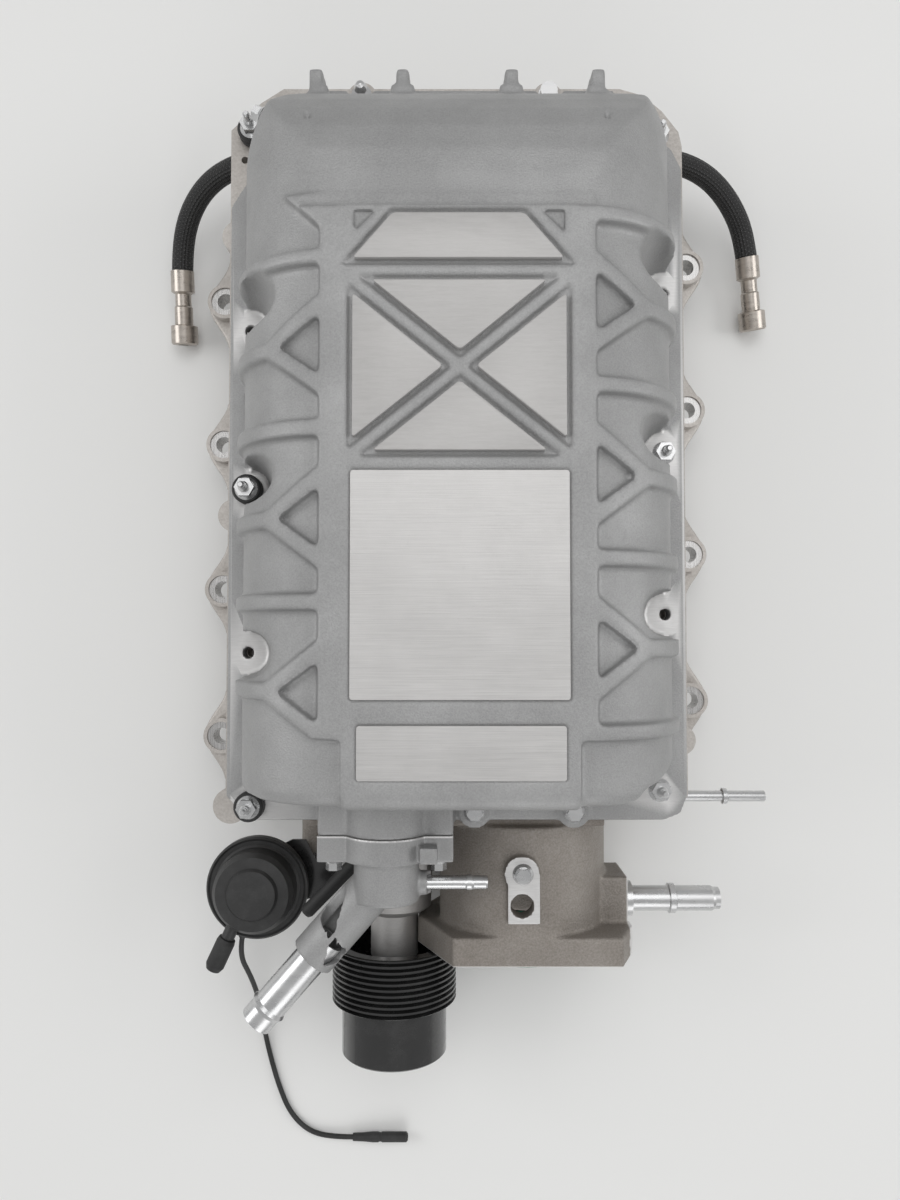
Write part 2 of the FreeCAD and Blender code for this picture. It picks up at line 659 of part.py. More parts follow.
def front_bearing_plate():
    """The plate ahead of the rotors, open above and below its two bearing rings for the intake air."""
    half = case_half - case_wall - 0.1
    low = rotor_axis - rotor_bore + 2.1
    high = deck_top - deck_thick - 2.1
    corners = [(-1 * half, low), (half, low), (half, high), (-1 * half, high)]
    plate = prism("front_plate", "y", corners, chamber_rear - bearing_thick, chamber_rear - 0.05)
    tools = [cylinder(f"front_seat_{index}", bearing_outer + press_gap, bearing_thick + 2, x,
                      chamber_rear + 1, rotor_axis, (0, -1, 0)) for index, x in enumerate(rotor_sides)]
    windows = []
    for index, x in enumerate(rotor_sides):
        ring = [cylinder(f"window_{index}", 44, bearing_thick + 2, x, chamber_rear + 1, rotor_axis, (0, -1, 0)),
                cylinder(f"window_hub_{index}", bearing_outer + 7, bearing_thick + 4, x, chamber_rear + 2, rotor_axis,
                         (0, -1, 0)),
                box(f"window_web_{index}", x - 50, x + 50, chamber_rear - bearing_thick - 2, chamber_rear + 2,
                    rotor_axis - 9, rotor_axis + 9)]
        windows.append(cut(f"window_cut_{index}", ring[0], ring[1:]))
    node("front_bearing_plate", cut("front_bearing_plate", plate, tools + windows))


def cover_outline(margin=0):
    half = cover_half - margin
    low = 6 + margin
    high = cover_top - margin
    return [(-1 * half, low + 12), (-1 * half + 12, low), (half - 12, low), (half, low + 12), (half, high - 8),
            (half - 8, high), (-1 * half + 8, high), (-1 * half, high - 8)]


def rear_bearing_plate():
    holes = [(x, z, stud_radius + hole_gap) for x, z in cover_bolts]
    plate = prism("rear_plate", "y", cover_outline(), case_rear, case_rear + bearing_thick + 2, holes)
    seats = [cylinder(f"rear_seat_{index}", bearing_outer + press_gap, bearing_thick + 4, x, case_rear - 1,
                      rotor_axis, (0, 1, 0)) for index, x in enumerate(rotor_sides)]
    node("rear_bearing_plate", cut("rear_bearing_plate", plate, seats))


def timing_gear(name, x, phase):
    """A spur gear: a hub disc and one tooth, repeated round the axis."""
    body = add("PartDesign::Body", name)
    root = rotor_offset - gear_depth - 0.3
    disc = sketch_in(body, "XY_Plane", 0)
    circle(disc, 0, 0, root)
    circle(disc, 0, 0, rotor_shaft + press_gap)
    hub = body.newObject("PartDesign::Pad", name + "_disc")
    hub.Profile = disc
    bind(hub, "Length", gear_thick)
    outline_of_tooth = sketch_in(body, "XY_Plane", 0)
    tip = rotor_offset + gear_depth - 0.3
    outline(outline_of_tooth, [(root - 1, -2.9), (root, -2.7), (rotor_offset, -1.9), (tip, -0.9), (tip, 0.9),
                               (rotor_offset, 1.9), (root, 2.7), (root - 1, 2.9)])
    tooth = body.newObject("PartDesign::Pad", name + "_tooth")
    tooth.Profile = outline_of_tooth
    bind(tooth, "Length", gear_thick)
    ring = body.newObject("PartDesign::PolarPattern", name + "_teeth")
    ring.Originals = [tooth]
    ring.Axis = (outline_of_tooth, ["N_Axis"])
    ring.Angle = 360
    bind(ring, "Occurrences", gear_teeth)
    body.Tip = ring
    facing = towards((0, 1, 0)).multiply(Rotation(Vector(0, 0, 1), phase))
    place(body, x, gear_rear - gear_thick, rotor_axis, facing)
    node(name, body)


def timing_gears():
    half_tooth = 180 / amount(gear_teeth)
    timing_gear("drive_gear", rotor_sides[0], 0)
    timing_gear("driven_gear", rotor_sides[1], half_tooth)


def gear_cover():
    front = case_rear + bearing_thick + 2
    rear = gear_rear + 4 + cover_wall
    shell = prism("cover_shell", "y", cover_outline(), front, rear)
    room = rotor_offset + gear_depth + 1
    tools = [cylinder(f"cover_room_{index}", room, gear_rear + 4 - front + 1, x, front - 1, rotor_axis, (0, 1, 0))
             for index, x in enumerate(rotor_sides)]
    tools += [cylinder(f"cover_hole_{index}", stud_radius + hole_gap, rear - front + 2, x, front - 1, z, (0, 1, 0))
              for index, (x, z) in enumerate(cover_bolts)]
    node("gear_cover", cut("gear_cover", shell, tools))


# Nose drive ---------------------------------------------------------------------------------------------


tube_height = cover_top - 6.2
tube_slant = (-0.7, -0.714, 0)
square = [(-1, -1), (1, -1), (1, 1), (-1, 1)]
nose_rear = chamber_front - 10
bracket_screws_z = (44.6, 53.2)
foot_x = -81


def inlet_housing():
    """The casting ahead of the rotor case: the inlet chamber, the round duct and the throttle flange."""
    half = inlet_half
    corners = [(-1 * half, case_corner), (-1 * half + case_corner, 4), (half - case_corner, 4),
               (half, case_corner), (half, cover_top), (-1 * half, cover_top)]
    bend = inlet_front + inlet_flange
    top = rotor_axis + 54
    flange = [(inlet_x - 69, rotor_axis - 4), (inlet_x - 44, 2), (inlet_x + 58, 2), (inlet_x + 68, 20),
              (inlet_x + 68, rotor_axis + 30), (inlet_x + 58, top), (inlet_x - 44, top),
              (inlet_x - 69, rotor_axis + 4)]
    port_x = inlet_x + 44
    port_z = rotor_axis + 10
    solids = [prism("chamber", "y", corners, chamber_front, case_front),
              cylinder("duct", inlet_bore + inlet_wall, chamber_front + 1 - bend, inlet_x, chamber_front + 1,
                       rotor_axis, (0, -1, 0)),
              prism("throttle_flange", "y", flange, inlet_front, bend),
              cylinder("nose_pad", nose_flange + 0.5, 12, -1 * rotor_offset, chamber_front + 2, rotor_axis,
                       (0, -1, 0)),
              cylinder("valve_boss", 8.5, 37.5, valve_x, case_front - 27.5, valve_z, (0, -1, 0)),
              box("sensor_pad", sensor_x - 8.5, sensor_x + 10.5, -281, -251.5, rotor_axis + 40, rotor_axis + 60),
              cylinder("sensor_pad_end", 10.5, 20, sensor_x, -251.5, rotor_axis + 40),
              box("sensor_rib", sensor_x - 7, sensor_x + 8, bend - 1, -280, rotor_axis + 45, rotor_axis + 54),
              box("brake_port_pad", port_x, port_x + 22.5, -297, -262, port_z - 22, port_z + 16),
              box("bracket_foot", foot_x - 5, foot_x + 5, leg_y + 2.5, chamber_front + 1, 40, 57),
              cylinder("tube_boss", 6, 18, -34, chamber_front + 6, tube_height, tube_slant)]
    body = fuse("inlet_solid", solids)
    tools = [box("chamber_room", -1 * mouth_half, mouth_half, chamber_front + 8, case_front + 1, 13, mouth_top),
             cylinder("inlet_way", inlet_bore, chamber_front + 9 - inlet_front + 1, inlet_x, chamber_front + 9,
                      rotor_axis, (0, -1, 0)),
             cylinder("nose_way", 23, 24, -1 * rotor_offset, chamber_front + 10, rotor_axis, (0, -1, 0)),
             cylinder("nose_room", nose_flange + 1, nose_rear - bend, -1 * rotor_offset, nose_rear, rotor_axis,
                      (0, -1, 0)),
             cylinder("nose_tube_room", 17, inlet_flange + 2, -1 * rotor_offset, bend + 1, rotor_axis,
                      (0, -1, 0)),
             cylinder("valve_way", valve_shaft + run_gap, 70, valve_x, case_front + 1, valve_z, (0, -1, 0)),
             cylinder("sensor_way", sensor_bore, 32, sensor_x, -270.3, rotor_axis + 30),
             cylinder("sensor_bolt_cut", stud_radius + press_gap, 13, sensor_x + 0.5, -251.5, rotor_axis + 49),
             cylinder("brake_port_way", 6, 40, inlet_x + 30, -279.7, port_z, (1, 0, 0)),
             cylinder("brake_port_seat", 8.5, 5, inlet_x + 62, -279.7, port_z, (1, 0, 0)),
             cylinder("tube_way", 2.52, 22, -34, chamber_front + 6, tube_height, tube_slant),
             cylinder("seal_seat", inlet_bore + 6, 3.5, inlet_x, inlet_front + 3, rotor_axis, (0, -1, 0))]
    for index, (x, z) in enumerate(square):
        tools.append(cylinder(f"throttle_hole_{index}", 3.3, 16, inlet_x + throttle_half * x, inlet_front + 15,
                              rotor_axis + throttle_half * z, (0, -1, 0)))
        tools.append(cylinder(f"nose_bolt_cut_{index}", stud_radius + press_gap, 13, nose_bolt * x - rotor_offset,
                              chamber_front + 3, rotor_axis + nose_bolt * z, (0, -1, 0)))
    for index, z in enumerate(bracket_screws_z):
        tools.append(cylinder(f"bracket_bolt_cut_{index}", 2.02, 9, foot_x, leg_y + 10, z, (0, -1, 0)))
    node("inlet_housing", cut("inlet_housing", body, tools))


def nose_housing():
    """The drive nose: a flange, a tapered barrel for two bearings and a slim front tube for the lip seal."""
    long = nose_rear - nose_front
    seat = nose_bearing + press_gap
    profile = [(23, 0), (nose_flange, 0), (nose_flange, 8), (25.5, 10), (24, long - 32), (20, long - 29),
               (15.5, long - 27), (15.5, long), (drive_shaft + 2, long), (drive_shaft + 2, long - 5), (13, long - 5),
               (13, long - 27), (seat, long - 30), (seat, 10), (23, 10)]
    body = lathe("nose_barrel", profile, -1 * rotor_offset, nose_rear, rotor_axis, (0, -1, 0))
    spots = [(nose_bolt * x - rotor_offset, rotor_axis + nose_bolt * z) for x, z in square]
    tools = [cylinder(f"nose_bolt_hole_{index}", stud_radius + hole_gap, 30, x, nose_rear + 1, z, (0, -1, 0))
             for index, (x, z) in enumerate(spots)]
    tools += [cylinder(f"nose_bolt_face_{index}", 7, 30, x, nose_rear - 8, z, (0, -1, 0))
              for index, (x, z) in enumerate(spots)]
    node("nose_housing", cut("nose_housing", body, tools))


def nose_fittings():
    inner = drive_shaft + run_gap
    rear = nose_rear - 10.5
    front = nose_front + 32
    rings = [bearing_ring("nose_bearing_rear", -1 * rotor_offset, rear, inner, nose_bearing, 10),
             bearing_ring("nose_bearing_front", -1 * rotor_offset, front + 10, inner, nose_bearing, 10)]
    node("nose_bearings", group("nose_bearings", rings))
    lip = [(inner, 0), (12.9, 0), (12.9, 7), (inner + 2.5, 7), (inner + 2.5, 2), (inner + 1, 2), (inner + 1, 5),
           (inner, 5)]
    node("nose_seal", lathe("nose_seal", lip, -1 * rotor_offset, nose_front + 12.5, rotor_axis, (0, -1, 0)))


def input_drive():
    rear = chamber_front + 10
    long = rear - pulley_front - 22
    profile = [(0, 0), (drive_shaft - 1, 0), (drive_shaft, 1), (drive_shaft, long), (0, long)]
    node("input_shaft", lathe("input_shaft", profile, -1 * rotor_offset, rear, rotor_axis, (0, -1, 0)))
    deep = coupling_rear - coupling_front
    hub = [(rotor_shaft + press_gap, 0), (20, 0), (21, 1), (21, deep - 1), (20, deep),
           (drive_shaft + press_gap, deep), (drive_shaft + press_gap, 12), (rotor_shaft + press_gap, 12)]
    node("drive_coupling", lathe("drive_coupling", hub, -1 * rotor_offset, coupling_rear, rotor_axis, (0, -1, 0)))


rim_inner = pulley_radius - 7


def pulley():
    """The pulley: a ribbed rim at the rear, a smooth drum ahead of it, and a hub on the shaft."""
    rim = rib_spacing * rib_count
    long = pulley_rear - pulley_front
    groove = 2.8
    profile = [(drive_shaft + press_gap, 24), (13.5, 24), (13.5, 30), (rim_inner, 30), (rim_inner, 0),
               (pulley_radius - 1, 0)]
    for index in range(int(amount(rib_count))):
        at = rib_spacing * index
        profile += [(pulley_radius, at + 0.5), (pulley_radius, at + 1.1), (pulley_radius - groove, at + 2.2),
                    (pulley_radius - groove, at + 2.6), (pulley_radius, at + 3.5)]
    profile += [(pulley_radius - 1, rim + 0.8), (drum_radius + 1, rim + 1), (drum_radius, rim + 3),
                (drum_radius, long - 1), (drum_radius - 1, long), (drum_radius - 4, long),
                (drum_radius - 4, 38), (13.5, 38), (13.5, long - 22), (drive_shaft + press_gap, long - 22)]
    node("pulley", lathe("pulley", profile, -1 * rotor_offset, pulley_rear, rotor_axis, (0, -1, 0)))
    head = [cylinder("pulley_washer", 12.5, 3, -1 * rotor_offset, pulley_front + 22, rotor_axis, (0, -1, 0)),
            hexagon("pulley_hex", 19, 8, -1 * rotor_offset, pulley_front + 19.5, rotor_axis, (0, -1, 0))]
    node("pulley_bolt", fuse("pulley_bolt", head))


# Lid, intercooler and plates ----------------------------------------------------------------------------


lid_base = deck_top + gasket_thick
bleed_height = 153
bleed_inward = (0.86, -0.51, 0)
rear_stud_spots = [(-58, plate_rear - 5), (56, plate_rear - 5)]


def shell_block(name, half, top, front, rear, shoulder, front_round, rear_round):
    """A block whose long shoulders and ends are rounded: the lid's outside or its inside."""
    corners = [(-1 * half, lid_base), (half, lid_base), (half, top), (-1 * half, top)]
    body = prism(name, "y", corners, front, rear)
    middle = (front + rear) / 2
    round_edges(body, shoulder, [(-1 * half, middle, top), (half, middle, top)])
    round_edges(body, rear_round, [(0, rear, top)])
    round_edges(body, front_round, [(0, front, top)])
    return body


def rib_pockets(side, tip_y, tag):
    """The three pockets of one rib period: above and below its triangle, and the triangle itself."""
    inner = rib_inner * side
    outer = 150 * side
    knee = 100 * side
    shapes = {
        "upper": [(inner, tip_y + 42), (inner, tip_y + 26.7), (knee, tip_y + 4.5), (outer, tip_y + 4.5),
                  (outer, tip_y + 42)],
        "lower": [(inner, tip_y - 38.5), (inner, tip_y - 26), (knee, tip_y - 4.5), (outer, tip_y - 4.5),
                  (outer, tip_y - 38.5)],
        "middle": [(inner, tip_y + 15.5), (inner, tip_y - 15.5), (inner + 21.5 * side, tip_y)]}
    return [prism(f"pocket_{tag}_{key}", "z", points, flange_top, lid_top + 10) for key, points in shapes.items()]


def islands():
    """The smooth raised flats of the lid's top: a trapezoid, and four triangles round a crossed rib."""
    return {
        "trapezoid": [(-33.5, 107), (34, 107), (54.5, 83.5), (-54, 83.5)],
        "back": [(-44, 72.3), (45.5, 72.3), (1, 36)],
        "left": [(-53.8, 65.5), (-7.5, 28.1), (-53.8, -9)],
        "right": [(55.4, 65.5), (9.3, 28.1), (55.4, -9)],
        "front": [(-43.5, -15.3), (45.5, -15.3), (1, 20.5)]}


emblem_box = [(-54.5, -25.5), (56.5, -25.5), (56.5, -141.5), (-54.5, -141.5)]
name_box = [(-51, -154.5), (54.5, -154.5), (54.5, -182), (-51, -182)]


def corner_blocks(tag, inset):
    """What is cut away above the lid's flange at both rear corners and the right front one."""
    shapes = {
        "rear_left": [(-160, 150), (-124, 150), (-110.5, 171), (-96, 193.5), (-81, 219), (-81, 240), (-160, 240)],
        "rear_right": [(160, 172), (124, 172), (121, 178), (109.5, 187), (89, 213), (89, 240), (160, 240)],
        "front_right": [(160, -168), (130, -168), (112, -183), (92, -195), (72, -199), (72, -240), (160, -240)]}
    moved = []
    for key, points in shapes.items():
        inward = -1 * inset if key.endswith("right") else inset
        along = -1 * inset if key.startswith("rear") else inset
        shifted = [(x + inward, y + along) for x, y in points]
        moved.append(prism(f"{tag}_{key}", "z", shifted, flange_top, lid_top + 12))
    return moved


def plate_recess(points, gap):
    (left, high), (right, low) = points[0], points[2]
    return box(f"recess_{amount(high):.0f}".replace("-", "m"), left - gap, right + gap, low - gap, high + gap,
               lid_top - 1.5, lid_top + 5)


def lid():
    ribs = shell_block("lid_ribs", lid_half, lid_top, wall_front, ribs_rear, lid_round, 8, 4)
    dome = shell_block("lid_dome", lid_half - rib_depth / 2, lid_top - rib_depth, wall_front + 1, dome_rear,
                       lid_round - 2, 8, 50)
    pockets = []
    for index in range(3):
        pockets += rib_pockets(-1, left_tip - rib_pitch * index, f"left_{index}")
        pockets += rib_pockets(1, right_tip - rib_pitch * index, f"right_{index}")
    last_left = left_tip - rib_pitch * 2
    last_right = right_tip - rib_pitch * 2
    front_left = [(-150, last_left - 4.5), (-100, last_left - 4.5), (-74, last_left - 23), (-59, last_left - 24),
                  (-59, wall_front - 10), (-150, wall_front - 10)]
    front_right = [(62, last_right - 46.5), (150, last_right - 46.5), (150, wall_front - 10), (62, wall_front - 10)]
    rear_left = [(-1 * rib_inner, left_tip + 49.5), (-1 * rib_inner, left_tip + 61), (-100, left_tip + 88),
                 (-150, left_tip + 88), (-150, left_tip + 49.5)]
    pockets += [prism("pocket_front_left", "z", front_left, flange_top, lid_top + 10),
                prism("pocket_front_right", "z", front_right, flange_top, lid_top + 10),
                prism("pocket_rear_left", "z", rear_left, flange_top, lid_top + 10),
                box("pocket_rear_right", rib_inner, 150, right_tip + 50, ribs_rear + 5, flange_top, lid_top + 10)]
    pits = [[(-53.5, 109), (-42, 109), (-53.5, 97)], [(43, 109), (55, 109), (55, 97)]]
    pockets += [prism(f"pit_{index}", "z", points, lid_top - 3, lid_top + 5) for index, points in enumerate(pits)]
    raised = [prism(f"island_{key}", "z", points, lid_top - 1, lid_top + 1.5) for key, points in islands().items()]
    upper = cut("lid_upper", fuse("lid_above", [cut("lid_ribbed", ribs, pockets), dome]), corner_blocks("outer", 0))
    solids = [upper, prism("lid_flange", "z", lid_outline(), lid_base, flange_top)]
    solids += raised
    solids += [box(f"lug_{index}", x - 4, x + 4, lid_rear - 15, lid_rear + 5, lid_base, flange_top + 14)
               for index, x in enumerate((-82.4, -31.7, 32, 83.2))]
    arch = cylinder("neck_arch", 27, 28, neck_x, neck_face + 28, neck_height - 5, (0, -1, 0))
    ears = box("neck_ears", neck_x - 39, neck_x + 39, neck_face, neck_face + 26, lid_base, neck_height + 10)
    solids += [arch, ears,
               cylinder("bleed_boss", 6.5, 30, -104.98, 184.43, bleed_height, bleed_inward)]
    for index, (x, y) in enumerate(front_bolts):
        solids.append(cylinder(f"front_tab_{index}", 9.5, flange_top + 1 - lid_base, x, y, lid_base))
    body = fuse("lid_solid", solids)
    room = shell_block("lid_room", lid_half - rib_depth / 2 - lid_wall, lid_top - rib_depth - lid_wall,
                       wall_front + lid_wall + 3, dome_rear - lid_wall, lid_round - 6, 6, 44)
    well_walls = [cylinder(f"well_wall_{index}", well_round + well_wall, 90, x, y, lid_base - 5)
                  for index, (x, y) in enumerate(side_wells + corner_wells)]
    hollow = cut("lid_hollow", room, corner_blocks("inner", 5.5) + well_walls)
    tools = [hollow, box("room_floor", -1 * lid_half + 8, lid_half - 8, wall_front + 10, dome_rear - 40, lid_base - 5,
                       lid_base + 5),
             box("neck_underside", neck_x - 45, neck_x + 45, neck_face - 5, neck_face + 35, 90, lid_base),
             cylinder("coolant_way", 9, 40, neck_x, neck_face + 38, neck_height, (0, -1, 0)),
             cylinder("bleed_way", stud_radius + press_gap, 20, -106.7, 185.45, bleed_height, bleed_inward),
             plate_recess(emblem_box, 1.2), plate_recess(name_box, 0.8)]
    for index, (x, y) in enumerate(side_wells):
        tools.append(cylinder(f"well_{index}", well_round, 80, x, y, flange_top))
    for index, (x, y) in enumerate(corner_wells):
        tools.append(cylinder(f"corner_well_{index}", well_round, 80, x, y, flange_top))
    for index, (x, y) in enumerate(side_wells + corner_wells + front_bolts):
        tools.append(cylinder(f"lid_hole_{index}", stud_radius + hole_gap, 30, x, y, lid_base - 10))
    for index, (x, y) in enumerate(rear_stud_spots):
        tools.append(cylinder(f"rear_arch_{index}", 9.5, 40, x, y + 1.5, lid_base - 5))
    for index, x in enumerate((neck_x - neck_bolt, neck_x + neck_bolt)):
        tools.append(cylinder(f"neck_bolt_cut_{index}", stud_radius + press_gap, 14, x, neck_face + 13, neck_height,
                              (0, -1, 0)))
    node("lid", cut("lid", body, tools))


def lid_gasket():
    plate = prism("gasket_plate", "z", lid_outline(1), deck_top, lid_base)
    half = lid_half - 10
    inside = [(-1 * half, wall_front + 12), (half, wall_front + 12), (half, lid_rear - 66), (half - 26, lid_rear - 24),
              (-1 * half + 34, lid_rear - 24), (-1 * half + 2, lid_rear - 76), (-1 * half, lid_rear - 80)]
    tools = [prism("gasket_window", "z", inside, deck_top - 1, lid_base + 1)]
    for index, (x, y) in enumerate(side_wells + corner_wells + front_bolts):
        tools.append(cylinder(f"gasket_hole_{index}", stud_radius + hole_gap, 5, x, y, deck_top - 2))
    for index, (x, y) in enumerate(rear_stud_spots):
        tools.append(cylinder(f"gasket_arch_{index}", 10, 5, x, y + 1.5, deck_top - 2))
    node("lid_gasket", cut("lid_gasket", plate, tools))


def intercooler():
    """The core, a finned block between a front tank that takes the coolant neck and a rear tank."""
    front = wall_front + 26
    rear = 150
    core = box("core_block", -1 * core_half, core_half, front + 18, rear - 14, core_low, core_high)
    slots = []
    for index in range(11):
        y = front + 26 + index * 24
        slots.append(box(f"core_slot_{index}", -1 * core_half + 6, core_half - 6, y, y + 16, core_low - 1,
                         core_high + 1))
    feet = [box(f"core_foot_{index}", x - 9, x + 9, y - 6, y + 6, deck_top, core_low + 1)
            for index, (x, y) in enumerate([(-62, front + 30), (62, front + 30), (-62, rear - 24), (62, rear - 24)])]
    node("intercooler_core", fuse("intercooler_core", [cut("core_fins", core, slots)] + feet))
    tank = [(-1 * core_half, core_low), (core_half, core_low), (core_half, core_high), (-1 * core_half, core_high)]
    front_tank = prism("front_tank_block", "y", tank, front, front + 18)
    stub = cylinder("tank_stub", 8.9, front - neck_face - 1, neck_x, front + 1, neck_height, (0, -1, 0))
    body = fuse("front_tank_solid", [front_tank, stub])
    way = cylinder("tank_way", 6.5, front - neck_face + 8, neck_x, front + 8, neck_height, (0, -1, 0))
    node("intercooler_front_tank", cut("intercooler_front_tank", body, [way]))
    rear_tank = prism("rear_tank_block", "y", tank, rear - 14, rear)
    round_edges(rear_tank, 6, [(-1 * core_half, rear, core_high - 30), (core_half, rear, core_high - 30)])
    node("intercooler_rear_tank", rear_tank)


def plates():
    for name, points in (("emblem_plate", emblem_box), ("name_plate", name_box)):
        plate = prism(name, "z", list(reversed(points)), lid_top - 1.5, lid_top + 0.5)
        high = lid_top
        round_edges(plate, 1.5, [(x, y, high) for x, y in points])
        node(name, plate)


# Fasteners -------------------------------------------------------------------------------------------------


def flange_bolt(name, x, y, z, direction, shank, reach=stud_radius):
    """A flanged hexagon bolt; z is the face under its flange, and direction points to the head."""
    back = tuple(-1 * value for value in direction)
    parts = [cylinder(name + "_shank", reach, shank, x, y, z, back),
             cone(name + "_flange", reach * 2.1, reach * 1.6, reach * 0.6, x, y, z, direction),
             hexagon(name + "_head", reach * 8 / 3, reach * 2, x, y, z, direction)]
    return fuse(name, parts)


def bolts():
    up = (0, 0, 1)
    ahead = (0, -1, 0)
    items = [flange_bolt(f"lid_bolt_{index}", x, y, flange_top + 1, up, 22)
             for index, (x, y) in enumerate(front_bolts)]
    items += [flange_bolt(f"neck_bolt_{index}", x, neck_face - 15, neck_height, ahead, 24)
              for index, x in enumerate((neck_x - neck_bolt, neck_x + neck_bolt))]
    items += [flange_bolt(f"cover_bolt_{index}", x, gear_rear + 4 + cover_wall, z, (0, 1, 0), 42)
              for index, (x, z) in enumerate(cover_bolts)]
    items += [flange_bolt(f"nose_bolt_{index}", nose_bolt * x - rotor_offset, nose_rear - 8,
                          rotor_axis + nose_bolt * z, ahead, 17) for index, (x, z) in enumerate(square)]
    items.append(flange_bolt("sensor_bolt", sensor_x + 0.5, -251.5, rotor_axis + 60, up, 10))
    node("flange_bolts", group("flange_bolts", items))


def studs():
    """Studs with a slim pilot at the tip, a flanged nut on each, and a rubber grommet under three of them."""
    right = [(well_x, right_wells[1]), corner_wells[1]]
    left = [(-1 * well_x, left_wells[1]), corner_wells[0]]
    seats = [(x, y, flange_top) for x, y in right + left] + [(x, y, deck_top) for x, y in corner_studs]
    pins = []
    nuts = []
    for index, (x, y, seat) in enumerate(seats):
        low = deck_top - 9
        lift = 9 if index in (2, 3, 4) else 0
        high = seat - low + lift + 9
        profile = [(0, 0), (stud_radius, 0), (stud_radius, high - 1), (stud_radius - 0.8, high), (2, high),
                   (2, high + 5), (1.2, high + 6), (0, high + 6)]
        pins.append(lathe(f"stud_{index}", profile, x, y, low))
        base = seat + lift
        parts = [cone(f"nut_flange_{index}", 6.8, 5.2, 1.8, x, y, base),
                 hexagon(f"nut_hex_{index}", 10, 6, x, y, base)]
        solid = fuse(f"nut_solid_{index}", parts)
        nuts.append(cut(f"nut_{index}", solid, [cylinder(f"nut_way_{index}", stud_radius + press_gap, 12, x, y,
                                                         base - 2)]))
    node("lid_studs", group("lid_studs", pins))
    node("lid_nuts", group("lid_nuts", nuts))
    ring = [(stud_radius + hole_gap, 0), (7.6, 0), (8.6, 1.2), (8.6, 3.4), (6.6, 4.2), (6.6, 5), (8.6, 5.8),
            (8.6, 7.8), (7.8, 9), (stud_radius + hole_gap, 9)]
    grommets = [lathe(f"grommet_{index}", ring, *seats[index]) for index in (2, 3, 4)]
    node("stud_grommets", group("stud_grommets", grommets))


def bleed_screw():
    out = tuple(-1 * value for value in bleed_inward)
    node("bleed_screw", flange_bolt("bleed_screw", -111, 188, bleed_height, out, 24))
    ball = [(0, 0), (stud_radius, 0), (stud_radius, 8), (6, 8), (6, 10), (2.4, 12), (2.4, 14), (4, 16.5), (2.4, 20),
            (0, 21)]
    nut = [(0, 0), (stud_radius, 0), (stud_radius, 8), (6.5, 8), (6, 10), (5.2, 10), (5.2, 15), (0, 15)]
    pair = [lathe("ball_stud", ball, -58, plate_rear - 5, deck_top - 7),
            lathe("rear_screw", nut, 56, plate_rear - 5, deck_top - 7)]
    node("rear_studs", group("rear_studs", pair))


# Coolant neck, pipes and seals --------------------------------------------------------------------------------


def coolant_neck():
    face = neck_face
    flange = box("neck_flange", neck_x - 39, neck_x + 39, face - 14.8, face, neck_height - 9, neck_height + 10)
    arch = cylinder("neck_face_arch", 27, 14.8, neck_x, face, neck_height - 5, (0, -1, 0))
    body = cylinder("neck_body", 19, 38, neck_x, face - 1, neck_height - 2, (0, -1, 0))
    pad = box("neck_pad", neck_x + 20, neck_x + 30, face - 13, face - 4, neck_height + 12, neck_height + 22)
    slant = (-0.66, -0.751, 0)
    spigot = cylinder("neck_spigot", spigot_radius, 60, neck_x - 4, face - 28, neck_height - 6, slant)
    boss = cylinder("neck_boss", 7, 22, neck_x + 4, -253.6, neck_height - 4, (1, 0, 0))
    solid = fuse("neck_solid", [flange, arch, body, pad, spigot, boss])
    below = box("neck_below", neck_x - 60, neck_x + 60, face - 15.3, face + 5, 80, neck_height - 18)
    trimmed = cut("neck_trimmed", solid, [below])
    tools = [cylinder("neck_way", 8, 34, neck_x, face + 1, neck_height, (0, -1, 0)),
             cylinder("spigot_way", pipe_radius + press_gap, 30, neck_x - 4 - 0.66 * 44, face - 28 - 0.751 * 44,
                      neck_height - 6, slant),
             cylinder("spigot_core", 7, 70, neck_x - 4, face - 28, neck_height - 6, slant),
             cylinder("vent_seat", 4.02, 12, neck_x + 18, -253.6, neck_height - 4, (1, 0, 0))]
    hollow = trimmed
    for index, tool in enumerate(tools):
        hollow = cut(f"neck_hollow_{index}", hollow, [tool])
    tools = []
    for index, x in enumerate((neck_x - neck_bolt, neck_x + neck_bolt)):
        tools.append(cylinder(f"neck_hole_{index}", stud_radius + hole_gap, 60, x, face + 1, neck_height, (0, -1, 0)))
        tools.append(cylinder(f"neck_spot_{index}", 7, 60, x, face - 14.8, neck_height, (0, -1, 0)))
    node("coolant_neck", cut("coolant_neck", hollow, tools))
    start = (neck_x - 4 - 0.66 * 46, face - 28 - 0.751 * 46, neck_height - 6)
    tube = [(pipe_radius - 1.5, 0), (pipe_radius, 0), (pipe_radius, 50), (pipe_radius + 1.2, 52),
            (pipe_radius, 54.5), (pipe_radius, 63), (pipe_radius - 1.5, 63)]
    node("coolant_pipe", lathe("coolant_pipe", tube, *start, slant))
    barb = [(2.6, 0), (4, 0), (4, 26), (4.5, 27), (4.5, 29.5), (3.9, 31), (3.9, 38), (3.5, 39), (2.6, 39)]
    node("vent_pipe", lathe("vent_pipe", barb, neck_x + 20, -253.6, neck_height - 4, (1, 0, 0)))


